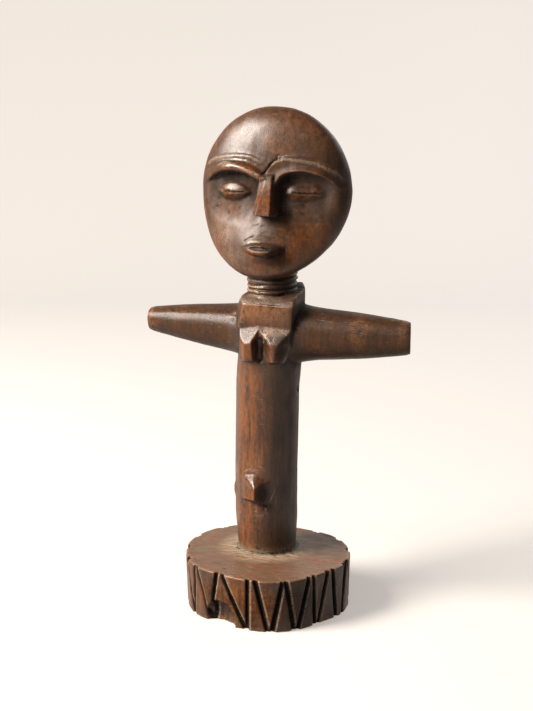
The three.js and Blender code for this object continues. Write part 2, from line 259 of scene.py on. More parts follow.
column = {
    "x": -3.8, "y": 9, "radius": 14.9, "footRadius": 14.2, "topRadius": 15.2, "bow": 0.6,
    "squareness": 0.36,           # 0 is a round column, 1 has hewn flats
    # bearing of each flat and its distance from the axis, for a radius of 14.9
    "sides": ((-7, 13.9), (-52, 15.1), (43, 15.1), (88, 14.8), (135, 14.9), (180, 14.8), (-138, 14.9), (-96, 14.8)),
    "corner": 3,
}
upper = {"x": 0.2, "y": 9, "from": 100, "to": 156}
chest = {
    "waist": 121,                 # the column's section below this height, squared above the next one
    "squared": 138,
    "front": -5.5,                # the flat panel's place in y
    "panelTop": 149,
    "corner": 0.9,
    "edgeRound": 0.8,             # of the edge where the shoulders' cuts begin
    # bearing of each side, and its distance from the body's middle line at the squared height and on top
    "sides": (
        (0, 14.5, 14.5), (91, 13.0, 13.8), (116, 13.4, 14.1), (180, 12.5, 12.5),
        (-121.5, 17.7, 15.9), (-91, 17.4, 15.5), (-52.6, 19.2, 17.6),
    ),
}
# Knife cuts that make the chest's top: height at the front edge, rise per mm towards the back and the left.
shoulders = {
    "frontCut": (149, 1.1, 0), "mainCut": (151.2, 0.15, 0.07), "rightBevel": (147.3, 1.7), "rightEdge": -16.2,
    "uneven": 0.24, "blend": 0.5,
}
breasts = {
    "top": 137.8,
    "bottom": 121.4,
    "apexZ": 130.9,
    "out": 4.9,
    "footOut": 3.3,
    # x of the inner and outer edge of each knob's narrow front facet, at the apex and at the foot
    "fronts": (((-5.2, -8.6), (-5.0, -8.9)), ((4.2, 8.0), (4.9, 5.4))),
    "innerSlopes": (2.5, 1.0),                   # fall towards the middle of the chest
    "outerSlopes": (0.8, 0.95),                  # fall towards the armpit
    "tilts": (0.14, -0.06),                      # turn of the upper facets
    "saddle": (131.2, 134.2, 0.42),              # between these heights the notch turns to a shallow saddle
    "edge": (12.8, 2.6),                         # beyond this x they fall off steeply
    "worn": 0.55,                                # rounding of the facets' edges
    "valley": {"x": -2.3, "halfWidth": 1.8, "depth": 1.3, "top": 133},
}
navel = {
    "x": -3.5, "out": 6.2, "apexZ": 60.7, "worn": 1.0,
    # falls per mm: to the figure's right and left, and up to each side with its direction
    "right": 0.82, "left": 1.1, "upRight": (0.95, -0.4, 0.917), "upLeft": (1.35, 0.45, 0.89),
    # the lower edge drops towards the left, the left one leans out going up
    "bottom": 51.6, "bottomDrop": 0.217, "under": 2.2, "reach": (-10.3, 4), "lean": 0.27, "beyond": 2.4,
    # the column swells a little beside it
    "beside": {"bearing": -72, "z": 55, "spread": 17, "tall": 4.6, "out": 0.7},
}


def bodyAxis(z):
    low = np.sin(np.pi * np.clip((z - disc["height"]) / 72, 0, 1))
    return column["x"] - column["bow"] * low + (upper["x"] - column["x"]) * ease(z, upper["from"], upper["to"])


def flatsReach(bearing, sides, corner):
    # distance from the axis to the nearest of several flat sides, with rounded corners between them
    reach = 60.0
    for side, distance in sides:
        towards = np.cos(np.radians(bearing - side))
        reach = softMin(reach, np.where(towards > 0.15, distance / np.maximum(towards, 0.15), 60), corner)
    return reach


def columnReach(bearing, z):
    foot = (column["radius"] - column["footRadius"]) * (1 - ease(z, disc["height"], disc["height"] + 22))
    radius = column["radius"] - foot + (column["topRadius"] - column["radius"]) * ease(z, 100, 120)
    hewn = flatsReach(bearing + 2.5 * np.sin(z / 23), column["sides"], column["corner"]) / column["radius"]
    square = column["squareness"] * ease(z, disc["height"] - 1, disc["height"] + 14)
    beside = navel["beside"]
    aside = (bearing - beside["bearing"] + 180) % 360 - 180
    off = np.hypot(aside / beside["spread"], (z - beside["z"]) / beside["tall"])
    return radius * (1 + (hewn - 1) * square) + beside["out"] * (1 - ease(off, 0.2, 1))


def chestReach(bearing, z):
    squared = np.clip((z - chest["squared"]) / (chest["panelTop"] - chest["squared"]), 0, 1)
    offAxis = upper["x"] - bodyAxis(z)
    sides = [(side, low + (high - low) * squared + offAxis * np.sin(np.radians(side)))
             for side, low, high in chest["sides"]]
    return flatsReach(bearing, sides, chest["corner"])


def shoulderHeight(x, y):
    # the chest's top, three knife cuts: steep behind the panel, nearly level, and steep on the figure's right
    back = y - chest["front"]
    points = np.stack([x, y, 0 * x], -1)
    cuts = softNoise(points, (7, 1.7, 4), 41) + 0.5 * softNoise(points, (2.6, 0.9, 4), 42)
    level, rise, _ = shoulders["frontCut"]
    height = level + rise * back
    level, rise, across = shoulders["mainCut"]
    height = softMin(height, level + rise * back + across * x, shoulders["blend"])
    level, rise = shoulders["rightBevel"]
    height = softMin(height, level + rise * (x - shoulders["rightEdge"]), shoulders["blend"])
    return height + shoulders["uneven"] * cuts * ease(back, 0.7, 2.4)


def breastHeight(x, z):
    # out from the panel: two knobs, each the lowest of five worn knife facets, parted by a notch
    height = np.full(np.broadcast(x, z).shape, -6.0)
    falling = np.clip((breasts["apexZ"] - z) / (breasts["apexZ"] - breasts["bottom"]), 0, 1)
    ridgeOut = breasts["out"] + (breasts["footOut"] - breasts["out"]) * falling
    above = 0.4 + (breasts["top"] - z) / (breasts["top"] - breasts["apexZ"]) * (breasts["out"] - 0.1)
    below = (z - breasts["bottom"]) * 4
    foot, top, filled = breasts["saddle"]
    parted = 1 - filled * ease(z, foot, top)
    for (atApex, atFoot), inner, outer, tilt, side in zip(
        breasts["fronts"], breasts["innerSlopes"], breasts["outerSlopes"], breasts["tilts"], (-1, 1)
    ):
        innerEdge, outerEdge = (a + (b - a) * falling for a, b in zip(atApex, atFoot))
        inward = np.maximum((innerEdge - x) * side, 0)
        outward = np.maximum((x - outerEdge) * side, 0)
        front = ridgeOut - inner * parted * inward - outer * outward
        knob = softMin(front, above + tilt * (x - atApex[0]), breasts["worn"])
        knob = softMin(knob, below, 0.7)
        edge, fall = breasts["edge"]
        knob = softMin(knob, (edge - np.abs(x)) * fall, breasts["worn"])
        height = np.maximum(height, knob)
    return height


def valleyDepth(x, z):
    # the hollow between the breasts, cut back behind the panel
    valley = breasts["valley"]
    across = np.clip(1 - ((x - valley["x"]) / valley["halfWidth"]) ** 2, 0, 1)
    along = ease(z, breasts["bottom"] - 0.8, breasts["bottom"] + 1.5) * (1 - ease(z, valley["top"] - 5, valley["top"]))
    return valley["depth"] * across * along


def navelHeight(x, z):
    # out from the column: four worn knife facets that meet in an apex, undercut below
    aside = x - navel["x"]
    up = z - navel["apexZ"]
    height = navel["out"] - np.where(aside < 0, -navel["right"], navel["left"]) * aside
    for fall, across, along in (navel["upRight"], navel["upLeft"]):
        height = softMin(height, navel["out"] - fall * (across * aside + along * up), navel["worn"])
    right, left = navel["reach"]
    foot = navel["bottom"] - navel["bottomDrop"] * np.clip(aside, right, left)
    left = left + navel["lean"] * (z - navel["bottom"])
    height = height - navel["beyond"] * (np.maximum(right - aside, 0) + np.maximum(aside - left, 0))
    return softMin(height, (z - foot) * navel["under"], navel["worn"])


def bodySurface():
    # rings from inside the disc to the shoulders, then in over the cut top; bearing is the other parameter
    bearing = np.linspace(0, 360, 420, endpoint=False)
    topReach = chestReach(bearing, chest["panelTop"] + 0 * bearing)
    topX = bodyAxis(chest["panelTop"]) + topReach * np.sin(np.radians(bearing))
    topY = column["y"] - topReach * np.cos(np.radians(bearing))
    wallTop = shoulderHeight(topX, topY)
    rise = np.linspace(0, 1, 480)[:, None]
    rise = np.concatenate([rise[:-1], 1 - (1 - rise[-2]) * np.linspace(0.8, 0, 5)[:, None] ** 2])
    foot = disc["height"] - 3
    z = foot + rise * (wallTop - foot)
    around = np.broadcast_to(bearing, z.shape)
    squared = np.clip((z - chest["waist"]) / (chest["squared"] - chest["waist"]), 0, 1)
    squared = 0.35 * ease(squared, 0, 1) + 0.65 * squared
    reach = columnReach(around, z)
    reach = reach + (chestReach(around, z) - reach) * squared
    nearTop = np.clip(1 - (wallTop - z) / chest["edgeRound"], 0, 1)
    reach = reach - chest["edgeRound"] * (1 - np.sqrt(1 - nearTop ** 2))
    x = bodyAxis(z) + reach * np.sin(np.radians(around))
    y = column["y"] - reach * np.cos(np.radians(around))
    facing = ease(np.cos(np.radians(around)), 0.2, 0.45)

    # breasts and valley are measured from the panel's plane, the navel from the column's front
    knobs, hollow = breastHeight(x, z), valleyDepth(x, z)
    carved = np.minimum(chest["front"] - np.maximum(knobs, 0) + hollow, y + hollow)
    y = np.where((knobs > 0) | (hollow > 0), y + (carved - y) * facing * ease(z, 119.4, 122.4), y)
    button = column["y"] - column["radius"] + 1.0 - navelHeight(x, z)
    y = np.where(navelHeight(x, z) > -6, y + (softMin(y, button, 0.3) - y) * facing, y)

    rings = [np.stack([x, y, z], -1).reshape(-1, 3)]
    inward = np.linspace(1, 0, 44)[1:]
    for share in inward:
        sx = bodyAxis(chest["panelTop"]) + share * (x[-1] - bodyAxis(chest["panelTop"]))
        sy = column["y"] + share * (y[-1] - column["y"])
        rings.append(np.stack([sx, sy, shoulderHeight(sx, sy)], -1))
    return np.concatenate(rings), gridFaces(len(rise) + len(inward), len(bearing), True)


# Arms

arms = {"z": 134.0, "depth": 0.93, "edge": 2.0, "root": 9.0, "flare": 5.0}
rightArm = {"side": -1, "reach": 64.3, "rootHeight": 25.6, "tipHeight": 12, "rise": 1.7, "fullness": 0.8,
            "flat": 0.08, "slant": 0}
leftArm = {"side": 1, "reach": 68, "rootHeight": 26.4, "tipHeight": 15.6, "rise": 1.4, "fullness": 0.9,
           "flat": 0.05, "slant": 0.25}


def armSurface(arm):
    # rings along x, each nearly round with a flattened top; the last ones turn in to close the soft end
    steps = np.linspace(0, 1, 190)
    end = np.linspace(0, 1, 16)[1:]
    length = arm["reach"] - arms["root"]
    edgeShare = arms["edge"] / length
    along = np.concatenate([steps * (1 - edgeShare), 1 - edgeShare + edgeShare * np.sin(end * np.pi / 2), np.ones(12)])
    shrink = np.concatenate([0 * steps, arms["edge"] * 0.62 * (1 - np.cos(end * np.pi / 2)), np.zeros(12)])
    closing = np.concatenate([np.ones(len(steps) + len(end)), np.linspace(1, 0, 12)])
    swell = arm["fullness"] * np.sin(np.pi * along) + arms["flare"] / 2 * (1 - along) ** 8
    half = (arm["rootHeight"] + (arm["tipHeight"] - arm["rootHeight"]) * along) / 2 + swell - shrink
    half = np.where(closing < 1, half[len(steps) + len(end) - 1], half) * closing
    turn = np.linspace(0, 2 * np.pi, 230, endpoint=False)
    up = np.sin(turn) - arm["flat"] * ease(np.sin(turn), 0.55, 1)
    out = arms["root"] + along * length
    y = upper["y"] - arms["depth"] * half[:, None] * np.cos(turn)
    z = arms["z"] + arm["rise"] * along[:, None] + half[:, None] * up
    slant = arm["slant"] * (y - upper["y"] + arms["depth"] * arm["tipHeight"] / 2) * ease(along[:, None], 0.8, 1)
    x = upper["x"] + arm["side"] * (out[:, None] - slant)
    points = np.stack([x, y, z + 0 * x], -1).reshape(-1, 3)
    inner = np.array([[upper["x"] + arm["side"] * arms["root"], upper["y"], arms["z"]]])
    points = np.concatenate([np.repeat(inner, len(turn), 0), points])
    return points, gridFaces(len(along) + 1, len(turn), True)


# Neck

neck = {
    "x": -1.3,
    "y": 9.0,
    "radius": 12.1,
    "bottom": 147.5,
    "top": 163,
    "grooves": (153.0, 155.3, 157.8, 160.7),     # heights of the knife rings
    "depth": 1.1,
    "width": 1.3,
    "tilt": 0.4,
    "uneven": 0.22,
}
nape = {"top": 190, "y": 12, "radius": 6}


def neckSurface():
    # a round stem with ring grooves that wander a little, running on up behind the chin into the head
    turn = np.linspace(0, 2 * np.pi, 260, endpoint=False)
    rings = np.linspace(neck["bottom"], neck["top"], 170)
    rise = np.concatenate([rings, np.linspace(neck["top"] + 1, nape["top"], 30)])
    z, around = np.meshgrid(rise, turn, indexing="ij")
    wander = neck["tilt"] * np.sin(around - 0.6) + 0.16 * np.sin(3 * around + z) + 0.1 * np.sin(5 * around)
    round_ = np.stack([12 * np.sin(around), 12 * np.cos(around), z], -1)
    radius = neck["radius"] + neck["uneven"] * softNoise(round_, (3.4, 3.4, 1.1), 45)
    for number, height in enumerate(neck["grooves"]):
        off = np.abs(z - height - wander * (1 - 0.7 * (number % 2))) / (neck["width"] / 2)
        deep = 0.85 + 0.3 * np.sin(around * 2 + 1.9 * number)
        radius = radius - neck["depth"] * deep * np.clip(1 - off, 0, 1) ** 0.8
        radius = radius - 0.5 * np.clip(1 - np.abs(z - height - wander) / 1.6, 0, 1)
    above = np.clip((z - neck["top"]) / (nape["top"] - neck["top"]), 0, 1)
    radius = radius + (nape["radius"] - radius) * above
    y = neck["y"] + (nape["y"] - neck["y"]) * above
    body = np.stack([neck["x"] + radius * np.sin(around), y - radius * np.cos(around), z], -1).reshape(-1, 3)
    low = np.array([[neck["x"], neck["y"], neck["bottom"]]])
    high = np.array([[neck["x"], nape["y"], nape["top"]]])
    points = np.concatenate([np.repeat(low, len(turn), 0), body, np.repeat(high, len(turn), 0)])
    return points, gridFaces(len(rise) + 2, len(turn), True)


# Head and face

head = {
    "y": 11.5, "z": 201, "halfWidth": 36.8, "up": 38.5, "down": 40.3, "front": 14, "frontBelow": 9.5, "back": 12.5,
    "chinForward": 14, "chinAside": -2.4, "thinnerBelow": 0.75, "fullnessBelow": 3,
}
# Each side of the face was carved a little differently: the figure's right comes first.
sockets = {
    "depth": (3.4, 2.7),
    "vertical": (184.5, 200.5),   # the cheek's upper slope leads down to the floor
    "outer": (25, 34),          # and fades towards the rim of the face
    "inner": (1, 6),
}
eyes = (
    {"x": -17.8, "slit": 200.4, "halfWidth": 8.6, "level": -0.4, "rise": 0.4, "tall": 4.0, "down": 4.6, "soft": 0.25},
    {"x": 16.6, "slit": 200.8, "halfWidth": 10.8, "level": -0.8, "rise": 0.4, "tall": 4.6, "down": 5.4, "soft": 0.6},
)
eyelid = {"cornerDrop": 2.2, "lowerBack": 0.3, "overTop": 1.3, "lowerDrop": 3.2}
brows = (
    {"line": ((-1.2, 209.2), (-6.5, 212.0), (-12.4, 213.8), (-22.4, 213.6), (-31.0, 210.2), (-37.6, 205.6)),
     "band": (5.6, 4.6, 3.6, 2.8, 2.4), "ridge": 2.9, "bandOut": 0.6, "lip": 0.7, "roll": 4.4, "fadeFrom": 0.5,
     "foot": -3.9},
    {"line": ((3.6, 207.0), (6.4, 210.6), (11.4, 212.6), (19, 213.1), (27.6, 210.3), (34.4, 204.4)),
     "band": (5.4, 4.8, 4.2, 3.8, 3.4), "ridge": 1.7, "bandOut": 1.35, "lip": 0.8, "roll": 2.4, "fadeFrom": 0.7,
     "foot": -3.2},
)
crest = {"below": 1.5, "bulge": 0.8}             # each roll swells a little below its line
# The nose's facets at the root and at the foot: x of each edge, and how far the front stands out.
nose = {
    "root": 209.2, "foot": 191.4,
    "bevelEdge": (-2.9, -4.0), "frontEdge": (1.0, -2.4), "shadeEdge": (3.4, 4.7),
    "out": (3.0, 9.4), "bevelDrop": (1.9, 1.5), "flank": 1.2,
}
mouth = {
    "right": -10.2, "left": 10.0, "peak": 0.6, "z": 176.0, "up": 2.7, "down": 3.6, "out": 4.3,
    "slotX": -0.7, "slotHalf": 5.5, "slotUp": 1.0, "slotDown": 0.45, "slotDepth": 1.0,
    "swells": ((2.6, 18), (1.4, 10)),            # height and reach of the rises that carry the lips
}


def towardsChin(z):
    return np.clip((head["z"] - z) / head["down"], 0, 1)


def headMiddle(z):
    return head["chinAside"] * towardsChin(z) ** 2


def domeAt(rho, z):
    # 1 in the middle of the face, 0 at the rim: flatter than a ball and fuller round the chin
    return np.sqrt(np.clip(1 - rho ** (2.2 + head["fullnessBelow"] * towardsChin(z)), 0, 1))


def rimShare(x, z):
    reach = np.where(z > head["z"], head["up"], head["down"])
    return np.hypot((x - headMiddle(z)) / head["halfWidth"], (z - head["z"]) / reach)


def socketHeight(x, z):
    # under the ridge lines alone; above them the forehead keeps its plain dome
    lines = [smoothLine(one["line"], 40) for one in brows]
    ceiling = np.where(x < 1, np.interp(x, lines[0][::-1, 0], lines[0][::-1, 1]), np.interp(x, *lines[1].T))
    sink = ease(z, *sockets["vertical"]) * (1 - ease(z, ceiling - 0.6, ceiling + 0.6))
    depth = np.where(x < 1, *sockets["depth"])
    return -depth * sink * (1 - ease(np.abs(x), *sockets["outer"])) * ease(np.abs(x), *sockets["inner"])


def addEyes(height, x, z):
    # closed lids: a flat upper facet leaning back from the slit, a rounder lower lid set a little further in
    for eye in eyes:
        aside = np.abs((x - eye["x"]) / eye["halfWidth"])
        level = eye["level"] - eyelid["cornerDrop"] * aside ** 3
        up = z - eye["slit"]
        pointed = np.clip(1 - aside ** 2, 0.02, 1)
        over = np.maximum(up - eye["tall"] * pointed, 0)
        below = np.clip(-up / (eye["down"] * pointed ** 0.6), 0, 3)
        upperLid = level - eye["rise"] * up - eyelid["overTop"] * over
        lowerLid = level - eyelid["lowerBack"] - eyelid["lowerDrop"] * below ** 1.8
        lid = np.where(up >= 0, upperLid, lowerLid)
        height = np.where(aside < 1.2, softMax(height, lid, eye["soft"]), height)
    return height


def browHeight(x, z):
    # a raised band above a ridge that overhangs the eye: profile by distance from the ridge line
    height = np.full(x.shape, -9.0)
    for one, side in zip(brows, (-1, 1)):
        line = smoothLine(one["line"], 60)
        near = (x * side > -8) & (z > 188) & (z < 228)
        distance, along, sign = fromLine(line, np.stack([x[near], z[near]], -1))
        width = np.interp(along, np.linspace(0, 1, len(one["band"])), one["band"])
        fade = 1 - 0.9 * ease(along, one["fadeFrom"], 1)
        ridge, out = one["ridge"] * fade, one["bandOut"] * fade
        band = out + (ridge - out) * np.exp(-distance / one["lip"])
        band = band * (1 - ease(distance, width - 0.4, width + 1.4)) - 9 * ease(distance, width + 1.4, width + 1.6)
        under = np.clip((distance - crest["below"]) / (one["roll"] - crest["below"]), 0, 1)
        foot = one["foot"] * fade
        roll = foot + (ridge - foot) * np.sqrt(1 - under ** 2.2)
        roll = roll + crest["bulge"] * (1 - np.clip(1 - distance / crest["below"], 0, 1) ** 1.6) * fade
        roll = np.where(distance > one["roll"], -9, roll)
        height[near] = np.maximum(height[near], np.where(sign * side > 0, band, roll))
    return height


def noseHeight(x, z):
    # a wedge with a front facet, a bevel on its right, and steep flanks; cut off square at the foot
    down = np.clip((nose["root"] - z) / (nose["root"] - nose["foot"]), 0, 1)
    bevelEdge, frontEdge, shadeEdge, out, drop = (
        nose[part][0] + (nose[part][1] - nose[part][0]) * down
        for part in ("bevelEdge", "frontEdge", "shadeEdge", "out", "bevelDrop"))
    fall = out / nose["flank"]
    slope = out - drop * np.clip((frontEdge - x) / (frontEdge - bevelEdge), 0, 1)
    right = slope - np.maximum(bevelEdge - x, 0) * fall
    left = out - np.maximum(x - shadeEdge, 0) * fall
    height = softMin(left, right, 0.3)
    height = height - 6 * ease(z, nose["root"] - 0.5, nose["root"] + 3)
    return np.where(z < nose["foot"], height - (nose["foot"] - z) * 14, height)


def mouthHeight(x, z):
    # a pointed oval that swells forward to a peak beside its middle, its lips parted by a slot
    share = np.where(x < mouth["peak"], (mouth["peak"] - x) / (mouth["peak"] - mouth["right"]),
                     (x - mouth["peak"]) / (mouth["left"] - mouth["peak"]))
    across = np.clip(1 - np.where(x < mouth["peak"], share ** 2.2, share ** 1.3), 0, 1)
    tall = np.clip(1 - share ** 2, 0, 1) ** 0.75
    off = np.where(z > mouth["z"], (z - mouth["z"]) / (mouth["up"] * tall + 0.01),
                   (mouth["z"] - z) / (mouth["down"] * tall + 0.01))
    fullness = np.where(z > mouth["z"], 2.2, 4.5)
    lips = mouth["out"] * across ** 0.7 * np.clip(1 - off ** fullness, 0, 1) ** 0.6
    within = np.clip(1 - ((x - mouth["slotX"]) / mouth["slotHalf"]) ** 2, 0, 1)
    top = mouth["z"] + mouth["slotUp"] * within
    foot = mouth["z"] - mouth["slotDown"] * within
    slot = ease(z, foot - 0.4, foot + 0.4) * (1 - ease(z, top - 0.4, top + 0.4)) * ease(within, 0.02, 0.5)
    away = np.hypot((x - mouth["slotX"]) * 0.75, z - mouth["z"])
    swell = sum(height * (1 - ease(away, 0.35 * reach, reach)) for height, reach in mouth["swells"])
    return lips + swell - mouth["slotDepth"] * slot


def faceHeight(x, z):
    # everything carved on the face, out from its plain dome, fading at the rim
    height = socketHeight(x, z)
    height = addEyes(height, x, z)
    brow = browHeight(x, z)
    height = np.where(brow > -8, softMax(height, brow, 0.3), height)
    height = softMax(height, noseHeight(x, z), 0.4)
    height = height + mouthHeight(x, z)
    return height * (1 - ease(rimShare(x, z), 0.94, 1.0))


def headSurface():
    # a square grid mapped to a disc, once for the face and once for the plain back, joined at the rim
    count = 400
    a, b = np.meshgrid(np.linspace(-1, 1, count), np.linspace(-1, 1, count), indexing="ij")
    u, w = a * np.sqrt(1 - b * b / 2), b * np.sqrt(1 - a * a / 2)
    share = np.hypot(u, w)
    spread = np.where(share > 1e-6, np.sin(np.pi / 2 * np.clip(share, 0, 1)) / np.maximum(share, 1e-6), np.pi / 2)
    u, w = u * spread, w * spread
    z = head["z"] + w * np.where(w > 0, head["up"], head["down"])
    x = headMiddle(z) + u * head["halfWidth"]
    rho = np.clip(np.hypot(u, w), 0, 1)
    middle = head["y"] - head["chinForward"] * towardsChin(z) ** 1.8
    bulge = head["front"] + (head["frontBelow"] - head["front"]) * ease(towardsChin(z), 0, 1)
    front = middle - bulge * domeAt(rho, z) - faceHeight(x, z)
    thickness = head["back"] * (1 - head["thinnerBelow"] * towardsChin(z) ** 2)
    back = middle + thickness * np.sqrt(np.clip(1 - rho * rho, 0, 1))
    faces = gridFaces(count, count, False)
    points = np.concatenate([np.stack([x, front, z], -1).reshape(-1, 3), np.stack([x, back, z], -1).reshape(-1, 3)])
    return points, np.concatenate([faces, faces[:, ::-1] + count * count])


# Fusing the forms into one block

block = {
    "voxel": 0.4,
    "triangles": 194000,
    # boxes (low corner, high corner) whose carving keeps every face of the fine skin
    "finest": (
        ((-35, -20, 193), (35, 0, 218)),         # eyes and brows
        ((-13, -20, 169), (12, -6, 194)),        # nose and mouth
        ((-13, -14, 119), (13, -3, 139)),        # breasts
        ((-13, -13, 51), (4, -3, 68)),           # navel
        ((-13, -9, 149), (12, 3, 162)),          # neck
    ),
    "finestWall": (-72, 92, 37, 0.5, 25.4),      # of the disc: two bearings, inner radius, two heights
}


def meshFrom(thing):
    return bpy.data.meshes.new_from_object(thing.evaluated_get(bpy.context.evaluated_depsgraph_get()))


def fuse(surfaces):
    # all surfaces in one mesh, remeshed as one skin, then thinned where it is plain
    points, faces, start = [], [], 0
    for some, quads in surfaces:
        points.append(some)
        faces.append(quads + start)
        start += len(some)
    rough = makeObject("rough_block", np.concatenate(points), np.concatenate(faces))
    remesh = rough.modifiers.new("fuse", "REMESH")
    remesh.mode = "VOXEL"
    remesh.voxel_size = block["voxel"] * millimetre
    remesh.adaptivity = 0
    skin = bpy.data.objects.new("fused_block", meshFrom(rough))
    bpy.data.objects.remove(rough)
    bpy.context.scene.collection.objects.link(skin)
    print("fused skin:", len(skin.data.vertices), "vertices")

    places = meshPoints(skin.data)
    plain = np.ones(len(places), bool)
    for low, high in block["finest"]:
        plain &= ~np.all((places > low) & (places < high), axis=1)
    first, last, inner, low, high = block["finestWall"]
    bearing = np.degrees(np.arctan2(places[:, 0], -places[:, 1]))
    wall = (np.hypot(places[:, 0], places[:, 1]) > inner) & (places[:, 2] > low) & (places[:, 2] < high)
    plain &= ~(wall & (bearing > first) & (bearing < last))
    skin.vertex_groups.new(name="plain").add(np.flatnonzero(plain).tolist(), 1.0, "REPLACE")
    thin = skin.modifiers.new("thin", "DECIMATE")
    thin.ratio = min(1, block["triangles"] / (2 * len(skin.data.polygons)))
    thin.vertex_group = "plain"
    thinned = meshFrom(skin)
    bpy.data.objects.remove(skin)
    print("thinned skin:", len(thinned.polygons), "faces, plain share", round(plain.mean(), 2))
    return thinned


def meshPoints(mesh):
    points = np.zeros(len(mesh.vertices) * 3, np.float32)
    mesh.vertices.foreach_get("co", points)
    return points.reshape(-1, 3).astype(float) / millimetre


def meshEdges(mesh):
    edges = np.zeros(len(mesh.edges) * 2, np.int32)
    mesh.edges.foreach_get("vertices", edges)
    return edges.reshape(-1, 2)


def meshNormals(mesh):
    normals = np.zeros(len(mesh.vertices) * 3, np.float32)
    mesh.vertices.foreach_get("normal", normals)
    return normals.reshape(-1, 3).astype(float)


def moveTo(mesh, points):
    mesh.vertices.foreach_set("co", (points * millimetre).astype(np.float32).ravel())
    mesh.update()


def neighbourMean(values, edges):
    # for each vertex the mean of its neighbours' values
    count = np.bincount(edges.ravel(), minlength=len(values))[:, None]
    total = np.stack([
        np.bincount(edges[:, 0], values[edges[:, 1], k], len(values))
        + np.bincount(edges[:, 1], values[edges[:, 0], k], len(values)) for k in range(values.shape[1])], -1)
    return total / np.maximum(count, 1)


def smoothed(values, edges, rounds, share):
    for _ in range(rounds):
        values = values + share * (neighbourMean(values, edges) - values)
    return values
